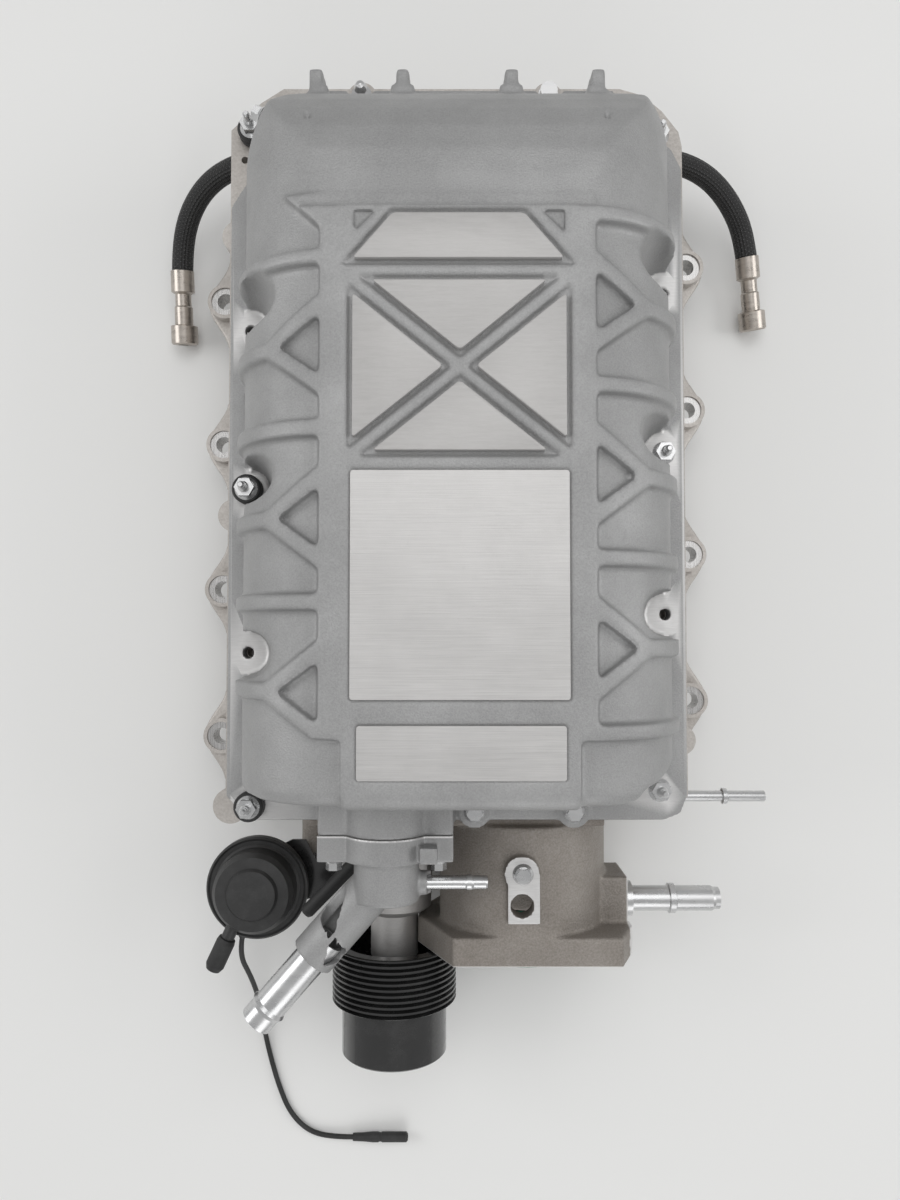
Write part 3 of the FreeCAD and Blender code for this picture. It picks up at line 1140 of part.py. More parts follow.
def front_pipes():
    seal = [(inlet_bore + 0.2, 0), (inlet_bore + 5.9, 0), (inlet_bore + 5.9, 3.4), (inlet_bore + 0.2, 3.4)]
    node("inlet_seal", lathe("inlet_seal", seal, inlet_x, inlet_front + 2.9, rotor_axis, (0, -1, 0)))
    pipe = [(5, 0), (8.4, 0), (8.4, 4.5), (11, 4.8), (11, 9), (7.9, 9.6), (7.9, 33), (9.4, 33.6), (9.4, 37),
            (7.9, 37.8), (7.9, 61), (6.9, 63), (6.9, 66), (5, 66)]
    node("quick_connect_pipe", lathe("quick_connect_pipe", pipe, inlet_x + 62, -279.7, rotor_axis + 10, (1, 0, 0)))
    small = [(2, 0), (3.2, 0), (3.2, 30), (4.7, 30.6), (4.7, 33), (3.2, 33.8), (3.2, 56), (2, 56)]
    node("vacuum_port_pipe", lathe("vacuum_port_pipe", small, plate_half - 9, -206, deck_top - 5, (1, 0, 0)))


line_route = [(-139.2, -305.3, can_low + 5), (-142.6, -319.3, can_low - 1.2), (-139.5, -341, 38), (-138.5, -362, 18),
              (-138, -384, 5), (-134, -407, line_radius), (-127, -431, line_radius), (-118.5, -451, line_radius),
              (-105, -464, line_radius), (-88, -467.5, 2.6), (-73, -467, 3.5)]
line_start, line_second = [Vector(*[amount(value) for value in point]) for point in line_route[:2]]
line_heading = (line_second - line_start).normalize()

# Bypass valve and its actuator ----------------------------------------------------------------------------------


def bypass_valve():
    rear = valve_y + valve_radius + 6
    front = can_y + 4.5
    plate_thick = 2
    disc = cylinder("bypass_disc", valve_radius, plate_thick, valve_x - plate_thick / 2, valve_y, valve_z, (1, 0, 0))
    node("bypass_plate", disc)
    rod = cylinder("valve_rod", valve_shaft, rear - front, valve_x, rear, valve_z, (0, -1, 0))
    slot = box("valve_slot", valve_x - plate_thick / 2, valve_x + plate_thick / 2, valve_y - valve_radius,
               valve_y + valve_radius, valve_z - 10, valve_z + 10)
    node("bypass_shaft", cut("bypass_shaft", rod, [slot]))
    turn = math.radians(amount(lever_rest))
    side = Vector(-math.cos(turn), 0, -math.sin(turn))
    arm = add("Part::Box", "lever_arm_plate")
    bind(arm, "Length", lever_arm)
    arm.Width = 4
    arm.Height = 8
    tilt = Rotation(Vector(0, 1, 0), 180 - amount(lever_rest))
    corner = Vector(amount(valve_x), amount(front), amount(valve_z)) + tilt.multVec(Vector(0, 0, -4))
    arm.Placement = FreeCAD.Placement(corner, tilt)
    pin = Vector(amount(valve_x), 0, amount(valve_z)) + side * amount(lever_arm)
    parts = [arm, cylinder("lever_hub", 8, 4, valve_x, front + 4, valve_z, (0, -1, 0)),
             cylinder("lever_end", 4.5, 4, pin.x, front + 4, pin.z, (0, -1, 0)),
             cylinder("lever_pin", 2.5, 12, pin.x, front + 1, pin.z, (0, -1, 0))]
    way = cylinder("lever_way", valve_shaft, 30, valve_x, front + 15, valve_z, (0, -1, 0))
    node("bypass_lever", cut("bypass_lever", fuse("lever_solid", parts), [way]))


def actuator():
    low = can_low
    hole = rod_stem + run_gap
    can = [(hole, low), (10, low), (24, low + 3), (cap_radius, low + 5), (cap_radius + 1, low + 9), (can_radius, low + 9),
           (can_radius, low + 12), (cap_radius - 2, low + 12), (cap_radius - 2, low + 6), (22, low + 5),
           (9, low + 2), (hole, low + 2)]
    body = lathe("can_body", [(r, z - low) for r, z in can], can_x, can_y, low)
    root = line_start - line_heading * 11
    stub = cylinder("line_socket", 2.4, 11, root.x, root.y, root.z, tuple(line_heading))
    node("actuator_can", fuse("actuator_can", [body, stub]))
    tall = cap_high - low
    cap = [(0, tall - 3), (10, tall - 3), (16, tall - 4.5), (22, tall - 5), (23.5, tall - 7), (24, 12.2),
           (can_radius, 12.2), (can_radius, 14.5), (can_radius - 1.2, 15.5), (can_radius - 2.5, 14.6),
           (cap_radius + 1.5, 14.4), (cap_radius, 15.5), (cap_radius - 0.5, tall - 6), (cap_radius - 3, tall - 2.6),
           (16.5, tall - 2.2), (15, tall), (0, tall)]
    dome = lathe("cap_dome", cap, can_x, can_y, low)
    nipple = cylinder("cap_nipple", 4.2, 30, can_x - 12, can_y - 18, low + 17, (-0.42, -0.907, 0))
    room = lathe("cap_room", [(0, 12), (23.8, 12), (23.3, tall - 7), (16, tall - 4.5), (0, tall - 4.5)], can_x, can_y,
                 low)
    node("actuator_cap", cut("actuator_cap", fuse("cap_solid", [dome, nipple]), [room]))
    node("nipple_cap", lathe("nipple_cap", [(4.3, 0), (5.4, 0.5), (6, 3), (6, 19), (4.6, 22), (0, 22.6), (0, 16.5),
                                            (4.3, 16.5)], can_x - 12 - 0.42 * 14, can_y - 18 - 0.907 * 14, low + 17,
                             (-0.42, -0.907, 0)))


def actuator_rod():
    """The rod, with a slotted end for the lever's pin: the pin swings in an arc, so the slot runs sideways."""
    turn = math.radians(amount(lever_rest))
    pin_z = valve_z - lever_arm * math.sin(turn)
    piston_low = can_low + 5.5
    front = can_y - 1.5
    end = box("rod_end", can_x - 10, can_x + 13, front, front + 3, pin_z - 5.5, pin_z + 5.5)
    stem = cylinder("rod_stem_bar", rod_stem, piston_low - pin_z - 3, can_x, can_y, pin_z + 4)
    piston = cylinder("rod_piston", 20, 1.5, can_x, can_y, piston_low)
    low_x = can_x - 4
    high_x = valve_x - lever_arm * math.cos(turn) + 4
    slot = box("rod_slot", low_x, high_x, front - 1, front + 4, pin_z - 3.5, pin_z + 3.5)
    node("actuator_rod", cut("actuator_rod", fuse("rod_solid", [end, stem, piston]), [slot]))


def actuator_bracket():
    """A steel plate under the can, with a leg screwed to a foot on the inlet housing."""
    low = can_low - 2
    points = [(can_x - 14, can_y - 12), (can_x - 2, can_y - 16), (can_x + 16, can_y - 14), (-94, -282),
              (-79, -268), (foot_x + 5, leg_y + 2.5), (foot_x - 5, leg_y + 2.5), (-93, -256), (-99, -244), (-108, -244),
              (can_x - 8, can_y + 14)]
    plate = prism("bracket_plate", "z", points, low, low + 2, [(can_x, can_y, 6)])
    leg = box("bracket_leg", foot_x - 5, foot_x + 5, leg_y, leg_y + 2.5, 40.5, low + 2)
    holes = [cylinder(f"bracket_hole_{index}", 2.2, 6, foot_x, leg_y + 4, z, (0, -1, 0))
             for index, z in enumerate(bracket_screws_z)]
    node("actuator_bracket", cut("actuator_bracket", fuse("bracket_solid", [plate, leg]), holes))
    screws = [flange_bolt(f"bracket_screw_{index}", foot_x, leg_y, z, (0, -1, 0), 8, 2)
              for index, z in enumerate(bracket_screws_z)]
    node("bracket_screws", group("bracket_screws", screws))


def breather_tube():
    """A barbed nipple on the inlet chamber with a blanked rubber tube pushed over it."""
    root = [-34 + tube_slant[0] * 12, chamber_front + 6 + tube_slant[1] * 12, tube_height]
    stub = [(1.5, 0), (2.5, 0), (2.5, 9), (3, 10), (3, 24), (1.5, 24)]
    node("tube_nipple", lathe("tube_nipple", stub, *root, tube_slant))
    start = [-34 + tube_slant[0] * 24, chamber_front + 6 + tube_slant[1] * 24, tube_height]
    sleeve = [(3.05, 0), (4.3, 0), (4.3, 58), (3.3, 60), (0, 60), (0, 14), (3.05, 14)]
    node("breather_tube", lathe("breather_tube", sleeve, *start, tube_slant))


# Rear hoses -------------------------------------------------------------------------------------------------


def crossover():
    pipe = [(4.5, 0), (crossover_radius, 0), (crossover_radius, 2 * crossover_half),
            (4.5, 2 * crossover_half)]
    tube = lathe("crossover_tube", pipe, -1 * crossover_half, crossover_y, crossover_z, (1, 0, 0))
    ferrules = []
    for index, side in enumerate((-1, 1)):
        sleeve = [(crossover_radius, 0), (9, 0), (9.5, 1), (9.5, 4), (8.6, 5), (8.6, 7), (9.5, 8), (9.5, 11), (8.6, 12),
                  (8.6, 14), (9.5, 15), (9.5, 17), (8, 18), (crossover_radius, 18)]
        ferrules.append(lathe(f"ferrule_{index}", sleeve, (crossover_half - 18) * side, crossover_y, crossover_z,
                              (side, 0, 0)))
    node("crossover_pipe", fuse("crossover_pipe", [tube] + ferrules))
    clips = []
    back = gear_rear + 4 + cover_wall
    for index, x in enumerate((-42, 42)):
        block = box(f"clip_block_{index}", x - 6, x + 6, back, crossover_y + 10, crossover_z - 10, crossover_z + 10)
        way = cylinder(f"clip_way_{index}", crossover_radius + run_gap, 20, x - 10, crossover_y, crossover_z, (1, 0, 0))
        mouth = box(f"clip_mouth_{index}", x - 7, x + 7, crossover_y, crossover_y + 11, crossover_z - 3.5,
                    crossover_z + 3.5)
        clips.append(cut(f"clip_{index}", block, [way, mouth]))
    node("pipe_clips", group("pipe_clips", clips))


left_route = [(-1 * crossover_half, crossover_y, crossover_z), (-121, crossover_y, crossover_z), (-148, 211, 57.5),
              (-172, 202.5, 47.5), (-188.5, 185, 35.5), (-196, 161, 24), (-196.5, 139, 18.5)]
right_route = [(crossover_half, crossover_y, crossover_z), (122, crossover_y, crossover_z), (149, 213.5, 57.5),
               (174, 208, 48), (194, 193.5, 36), (207, 173, 25), (211, 149, 18.8)]


def hoses():
    for side, points in (("left", left_route), ("right", right_route)):
        node(f"hose_{side}", route(f"hose_{side}", points, hose_radius))
        last = Vector(*[amount(value) for value in points[-1]])
        before = Vector(*[amount(value) for value in points[-2]])
        heading = (last - before).normalize()
        body = [(0, 0), (hose_radius + 0.05, 0), (hose_radius + 0.05, -12.5), (8.2, -13), (8.2, 1.5), (5.6, 3),
                (5.6, 11), (6.4, 12), (6.4, 24), (fitting_radius, 25), (fitting_radius, 37), (8.4, 38), (5, 38),
                (5, 17), (0, 17)]
        node(f"hose_fitting_{side}", lathe(f"hose_fitting_{side}", body, last.x, last.y, last.z, tuple(heading)))


def vacuum_line():
    node("vacuum_line", route("vacuum_line", line_route, line_radius))
    last = Vector(*[amount(value) for value in line_route[-1]])
    heading = (last - Vector(*[amount(value) for value in line_route[-2]])).normalize()
    rubber = [(0, 0), (2.6, 0), (2.9, 8), (3.4, 14), (3.4, 18), (2.9, 19), (2.9, 20), (3.4, 21), (3.4, 38), (2.4, 39),
              (2.4, 24), (0, 24)]
    node("vacuum_connector", lathe("vacuum_connector", rubber, last.x, last.y, last.z, tuple(heading)))


# The whole part ------------------------------------------------------------------------------------------------

for build in (manifold_housing, head_seals, bolt_limiters, rotors, rotor_shafts, rotor_bearings,
              front_bearing_plate, rear_bearing_plate, timing_gears, gear_cover, inlet_housing, nose_housing,
              nose_fittings, input_drive, pulley, lid, lid_gasket, intercooler, plates, bolts, studs, bleed_screw,
              coolant_neck, front_pipes, bypass_valve, actuator, actuator_rod, actuator_bracket, breather_tube,
              crossover, hoses, vacuum_line):
    build()
doc.recompute()

for thing in doc.Objects:
    if "Invalid" in thing.State or "Error" in thing.State:
        raise RuntimeError(f"{thing.Label} did not build: {thing.State}")
for name, thing in nodes.items():
    if thing.Shape.isNull() or not thing.Shape.isValid() or not thing.Shape.Solids:
        raise RuntimeError(f"{name} has no valid solid")

os.makedirs("parts", exist_ok=True)
for name, thing in nodes.items():
    thing.Shape.exportStep(f"parts/{name}.step")
print(len(nodes), "nodes written")
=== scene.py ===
import math

import bpy
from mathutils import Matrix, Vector


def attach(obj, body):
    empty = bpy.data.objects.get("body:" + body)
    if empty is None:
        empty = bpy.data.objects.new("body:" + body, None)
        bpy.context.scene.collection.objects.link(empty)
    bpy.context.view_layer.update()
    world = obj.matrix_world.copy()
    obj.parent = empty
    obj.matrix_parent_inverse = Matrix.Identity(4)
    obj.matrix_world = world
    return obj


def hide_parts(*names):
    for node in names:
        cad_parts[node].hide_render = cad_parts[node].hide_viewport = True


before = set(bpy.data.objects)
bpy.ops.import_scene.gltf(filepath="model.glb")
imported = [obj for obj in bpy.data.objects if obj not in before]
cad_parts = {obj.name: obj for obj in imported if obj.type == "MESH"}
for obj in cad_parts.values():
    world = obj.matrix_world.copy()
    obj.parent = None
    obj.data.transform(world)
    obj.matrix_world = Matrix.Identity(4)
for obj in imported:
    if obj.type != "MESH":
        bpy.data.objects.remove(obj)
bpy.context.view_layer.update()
print("frame loaded:", len(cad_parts), "nodes")

mm = 0.001
scene = bpy.context.scene


# small helpers used by every piece

def deselectAll():
    if bpy.context.mode != "OBJECT":
        bpy.ops.object.mode_set(mode="OBJECT")
    bpy.ops.object.select_all(action="DESELECT")


def makeActive(piece):
    deselectAll()
    piece.select_set(True)
    bpy.context.view_layer.objects.active = piece


def addedPiece(name):
    piece = bpy.context.object
    piece.name = name
    piece.data.name = name
    return piece


def applyModifier(piece, kind, **settings):
    makeActive(piece)
    modifier = piece.modifiers.new(kind.lower(), kind)
    for key, value in settings.items():
        setattr(modifier, key, value)
    bpy.ops.object.modifier_apply(modifier=modifier.name)


def mergeDoubles(piece, distance=0.00001):
    makeActive(piece)
    bpy.ops.object.mode_set(mode="EDIT")
    bpy.ops.mesh.select_all(action="SELECT")
    bpy.ops.mesh.remove_doubles(threshold=distance)
    bpy.ops.mesh.normals_make_consistent(inside=False)
    bpy.ops.object.mode_set(mode="OBJECT")


def copyOfNode(node, name):
    # a free copy of a CAD node, merged so that modifiers see one skin
    piece = bpy.data.objects.new(name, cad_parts[node].data.copy())
    piece.data.name = name
    scene.collection.objects.link(piece)
    makeActive(piece)
    bpy.ops.object.mode_set(mode="EDIT")
    bpy.ops.mesh.select_all(action="SELECT")
    bpy.ops.mesh.remove_doubles(threshold=0.00001)
    bpy.ops.object.mode_set(mode="OBJECT")
    return piece


def dress(piece, material):
    piece.data.materials.clear()
    piece.data.materials.append(material)


def smoothByAngle(piece, degrees=30):
    makeActive(piece)
    bpy.ops.object.shade_smooth_by_angle(angle=math.radians(degrees))


# camera, floor and lamps

cameraLook = {"place": (-0.004, -0.10792, 0.659), "tiltDegrees": 2.1, "lens": 27}
floorLook = {"side": 8, "height": -0.0005, "color": (0.80, 0.80, 0.79, 1), "roughness": 0.75}
lampLook = {"world": 0.5, "top": 7, "side": 5, "front": 4}

cameraData = bpy.data.cameras.new("camera")
cameraData.lens = cameraLook["lens"]
cameraData.sensor_width = 36
cameraObject = bpy.data.objects.new("camera", cameraData)
cameraObject.location = cameraLook["place"]
cameraObject.rotation_euler = (math.radians(cameraLook["tiltDegrees"]), 0, 0)
scene.collection.objects.link(cameraObject)
scene.camera = cameraObject
scene.view_settings.view_transform = "Standard"


def addLamp(name, place, size, watts):
    lampData = bpy.data.lights.new(name, "AREA")
    lampData.size = size
    lampData.energy = watts
    lamp = bpy.data.objects.new(name, lampData)
    lamp.location = place
    lamp.rotation_euler = (Vector((0, -0.1, 0.1)) - Vector(place)).to_track_quat("-Z", "Y").to_euler()
    scene.collection.objects.link(lamp)


addLamp("topLamp", (0.1, 0.5, 1.7), 1.2, lampLook["top"])
addLamp("sideLamp", (-1.3, 0.1, 0.9), 0.8, lampLook["side"])
addLamp("rightLamp", (1.3, 0.0, 0.9), 0.8, lampLook["side"])
addLamp("frontLamp", (0.1, -1.5, 0.9), 0.9, lampLook["front"])
world = bpy.data.worlds.new("world")
world.use_nodes = True
world.node_tree.nodes["Background"].inputs["Color"].default_value = (1, 1, 1, 1)
world.node_tree.nodes["Background"].inputs["Strength"].default_value = lampLook["world"]
scene.world = world

deselectAll()
bpy.ops.mesh.primitive_plane_add(size=floorLook["side"], location=(0, 0, floorLook["height"]))
floor = addedPiece("floor")
floorMaterial = bpy.data.materials.new("floorMaterial")
floorMaterial.use_nodes = True
floorShader = floorMaterial.node_tree.nodes["Principled BSDF"]
floorShader.inputs["Base Color"].default_value = floorLook["color"]
floorShader.inputs["Roughness"].default_value = floorLook["roughness"]
dress(floor, floorMaterial)
print("camera, floor and lamps set")


# shared effects, each a node group with named inputs

def newGroup(name, inputs, outputs):
    group = bpy.data.node_groups.new(name, "ShaderNodeTree")
    for label, kind, value in inputs:
        socket = group.interface.new_socket(label, in_out="INPUT", socket_type=kind)
        socket.default_value = value
    for label, kind in outputs:
        group.interface.new_socket(label, in_out="OUTPUT", socket_type=kind)
    start = group.nodes.new("NodeGroupInput")
    end = group.nodes.new("NodeGroupOutput")
    return group, start, end


def noiseNode(tree, coords, scale, detail=4, rough=0.5):
    noise = tree.nodes.new("ShaderNodeTexNoise")
    noise.inputs["Detail"].default_value = detail
    noise.inputs["Roughness"].default_value = rough
    tree.links.new(coords, noise.inputs["Vector"])
    if isinstance(scale, (int, float)):
        noise.inputs["Scale"].default_value = scale
    else:
        tree.links.new(scale, noise.inputs["Scale"])
    return noise.outputs["Fac"]


def rangeNode(tree, value, fromLow, fromHigh, toLow=0.0, toHigh=1.0):
    stretch = tree.nodes.new("ShaderNodeMapRange")
    tree.links.new(value, stretch.inputs["Value"])
    ends = {"From Min": fromLow, "From Max": fromHigh, "To Min": toLow, "To Max": toHigh}
    for label, number in ends.items():
        if isinstance(number, (int, float)):
            stretch.inputs[label].default_value = number
        else:
            tree.links.new(number, stretch.inputs[label])
    return stretch.outputs["Result"]


def mixNode(tree, share, first, second):
    mix = tree.nodes.new("ShaderNodeMix")
    mix.data_type = "RGBA"
    tree.links.new(share, mix.inputs[0])
    tree.links.new(first, mix.inputs[6])
    tree.links.new(second, mix.inputs[7])
    return mix.outputs[2]


def mathNode(tree, operation, first, second):
    node = tree.nodes.new("ShaderNodeMath")
    node.operation = operation
    for index, value in enumerate((first, second)):
        if isinstance(value, (int, float)):
            node.inputs[index].default_value = value
        else:
            tree.links.new(value, node.inputs[index])
    return node.outputs[0]


def bumpNode(tree, height, strength, distance, normal=None):
    bump = tree.nodes.new("ShaderNodeBump")
    tree.links.new(height, bump.inputs["Height"])
    if isinstance(strength, (int, float)):
        bump.inputs["Strength"].default_value = strength
    else:
        tree.links.new(strength, bump.inputs["Strength"])
    bump.inputs["Distance"].default_value = distance
    if normal is not None:
        tree.links.new(normal, bump.inputs["Normal"])
    return bump.outputs["Normal"]


surfaceOutputs = [("Color", "NodeSocketColor"), ("Roughness", "NodeSocketFloat"),
                  ("Normal", "NodeSocketVector")]
castLook = {"mottleScale": 22, "mottleShare": 0.45, "fineShare": 0.5, "bumpDistance": 0.0006}
brushLook = {"lineScale": 30, "cloudScale": 18, "scratchScale": 420, "lineShare": 0.6, "cloudShare": 0.4,
             "scratchShare": 0.15, "bumpDistance": 0.0004}
coatLook = {"markScale": 60, "speckScale": 1500, "markDulling": 0.16, "bumpDistance": 0.0004}


def makeCastGroup():
    # sand-cast grain: fine pits over soft mottling, with the odd brighter rub
    group, start, end = newGroup("castGrain", [
        ("Vector", "NodeSocketVector", (0, 0, 0)), ("Color", "NodeSocketColor", (0.5, 0.5, 0.5, 1)),
        ("Dark Color", "NodeSocketColor", (0.4, 0.4, 0.4, 1)), ("Grain Scale", "NodeSocketFloat", 900.0),
        ("Grain Depth", "NodeSocketFloat", 0.3), ("Roughness", "NodeSocketFloat", 0.5)], surfaceOutputs)
    coords = start.outputs["Vector"]
    mottle = rangeNode(group, noiseNode(group, coords, castLook["mottleScale"], 5, 0.6), 0.35, 0.68)
    fine = noiseNode(group, coords, start.outputs["Grain Scale"], 3, 0.6)
    fineTone = rangeNode(group, fine, 0.35, 0.65)
    mottleTone = mathNode(group, "MULTIPLY", mottle, castLook["mottleShare"])
    blend = mathNode(group, "ADD", mottleTone, mathNode(group, "MULTIPLY", fineTone, castLook["fineShare"]))
    colour = mixNode(group, blend, start.outputs["Dark Color"], start.outputs["Color"])
    sheen = rangeNode(group, mottle, 0.0, 1.0, 0.05, -0.06)
    rough = mathNode(group, "ADD", start.outputs["Roughness"], sheen)
    bump = bumpNode(group, fine, start.outputs["Grain Depth"], castLook["bumpDistance"])
    group.links.new(colour, end.inputs["Color"])
    group.links.new(rough, end.inputs["Roughness"])
    group.links.new(bump, end.inputs["Normal"])
    return group


def makeBrushedGroup():
    # lines drawn along one direction, with faint cross scratches and cloudy sheen
    group, start, end = newGroup("brushedLines", [
        ("Vector", "NodeSocketVector", (0, 0, 0)), ("Line Stretch", "NodeSocketVector", (1, 60, 60)),
        ("Color", "NodeSocketColor", (0.8, 0.8, 0.78, 1)),
        ("Dark Color", "NodeSocketColor", (0.6, 0.6, 0.58, 1)),
        ("Roughness", "NodeSocketFloat", 0.35), ("Depth", "NodeSocketFloat", 0.1)], surfaceOutputs)
    stretch = group.nodes.new("ShaderNodeVectorMath")
    stretch.operation = "MULTIPLY"
    group.links.new(start.outputs["Vector"], stretch.inputs[0])
    group.links.new(start.outputs["Line Stretch"], stretch.inputs[1])
    lines = noiseNode(group, stretch.outputs["Vector"], brushLook["lineScale"], 4, 0.7)
    coords = start.outputs["Vector"]
    cloud = rangeNode(group, noiseNode(group, coords, brushLook["cloudScale"], 4, 0.6), 0.3, 0.7)
    scratch = rangeNode(group, noiseNode(group, coords, brushLook["scratchScale"], 2, 0.8), 0.66, 0.75)
    lineTone = mathNode(group, "MULTIPLY", rangeNode(group, lines, 0.35, 0.65), brushLook["lineShare"])
    tone = mathNode(group, "ADD", lineTone, mathNode(group, "MULTIPLY", cloud, brushLook["cloudShare"]))
    tone = mathNode(group, "SUBTRACT", tone, mathNode(group, "MULTIPLY", scratch, brushLook["scratchShare"]))
    colour = mixNode(group, tone, start.outputs["Dark Color"], start.outputs["Color"])
    sheen = rangeNode(group, lines, 0.3, 0.7, -0.06, 0.08)
    rough = mathNode(group, "ADD", start.outputs["Roughness"], sheen)
    bump = bumpNode(group, lines, start.outputs["Depth"], brushLook["bumpDistance"])
    group.links.new(colour, end.inputs["Color"])
    group.links.new(rough, end.inputs["Roughness"])
    group.links.new(bump, end.inputs["Normal"])
    return group


def makePolymerGroup():
    # paint, rubber and moulded polymer: fine orange peel, dust and handling marks
    group, start, end = newGroup("handledCoat", [
        ("Vector", "NodeSocketVector", (0, 0, 0)), ("Color", "NodeSocketColor", (0.05, 0.05, 0.05, 1)),
        ("Dust Color", "NodeSocketColor", (0.3, 0.3, 0.3, 1)), ("Dust", "NodeSocketFloat", 0.1),
        ("Roughness", "NodeSocketFloat", 0.4), ("Peel Scale", "NodeSocketFloat", 700.0),
        ("Peel Depth", "NodeSocketFloat", 0.1)], surfaceOutputs)
    coords = start.outputs["Vector"]
    marks = rangeNode(group, noiseNode(group, coords, coatLook["markScale"], 6, 0.7), 0.45, 0.75)
    specks = rangeNode(group, noiseNode(group, coords, coatLook["speckScale"], 2, 0.6), 0.62, 0.74)
    dust = mathNode(group, "MULTIPLY", mathNode(group, "ADD", marks, specks), start.outputs["Dust"])
    colour = mixNode(group, dust, start.outputs["Color"], start.outputs["Dust Color"])
    dulling = mathNode(group, "MULTIPLY", marks, coatLook["markDulling"])
    rough = mathNode(group, "ADD", start.outputs["Roughness"], dulling)
    bump = bumpNode(group, noiseNode(group, coords, start.outputs["Peel Scale"], 3, 0.5),
                    start.outputs["Peel Depth"], coatLook["bumpDistance"])
    group.links.new(colour, end.inputs["Color"])
    group.links.new(rough, end.inputs["Roughness"])
    group.links.new(bump, end.inputs["Normal"])
    return group


groups = {"cast": makeCastGroup(), "brushed": makeBrushedGroup(), "coat": makePolymerGroup()}


def makeMaterial(name, effect, values, metallic=0.0, coat=0.0, machined=None):
    material = bpy.data.materials.new(name)
    material.use_nodes = True
    tree = material.node_tree
    shader = tree.nodes["Principled BSDF"]
    coords = tree.nodes.new("ShaderNodeTexCoord").outputs["Object"]
    effectNode = tree.nodes.new("ShaderNodeGroup")
    effectNode.node_tree = groups[effect]
    tree.links.new(coords, effectNode.inputs["Vector"])
    for label, value in values.items():
        effectNode.inputs[label].default_value = value
    outputs = {label: effectNode.outputs[label] for label in ("Color", "Roughness", "Normal")}
    if machined:
        # faces cut by the mill are marked on the mesh and keep their own bright finish
        millNode = tree.nodes.new("ShaderNodeGroup")
        millNode.node_tree = groups["brushed"]
        tree.links.new(coords, millNode.inputs["Vector"])
        for label, value in machined.items():
            millNode.inputs[label].default_value = value
        mark = tree.nodes.new("ShaderNodeAttribute")
        mark.attribute_name = "machined"
        share = mark.outputs["Fac"]
        for label in ("Color", "Roughness", "Normal"):
            mix = tree.nodes.new("ShaderNodeMix")
            mix.data_type = {"Color": "RGBA", "Roughness": "FLOAT", "Normal": "VECTOR"}[label]
            slot = {"Color": (6, 7, 2), "Roughness": (2, 3, 0), "Normal": (4, 5, 1)}[label]
            tree.links.new(share, mix.inputs[0])
            tree.links.new(outputs[label], mix.inputs[slot[0]])
            tree.links.new(millNode.outputs[label], mix.inputs[slot[1]])
            outputs[label] = mix.outputs[slot[2]]
    tree.links.new(outputs["Color"], shader.inputs["Base Color"])
    tree.links.new(outputs["Roughness"], shader.inputs["Roughness"])
    tree.links.new(outputs["Normal"], shader.inputs["Normal"])
    shader.inputs["Metallic"].default_value = metallic
    shader.inputs["Coat Weight"].default_value = coat
    shader.inputs["Coat Roughness"].default_value = 0.12
    return material


def grey(value, warm=0.0):
    return (value * (1 + warm), value, value * (1 - warm), 1)


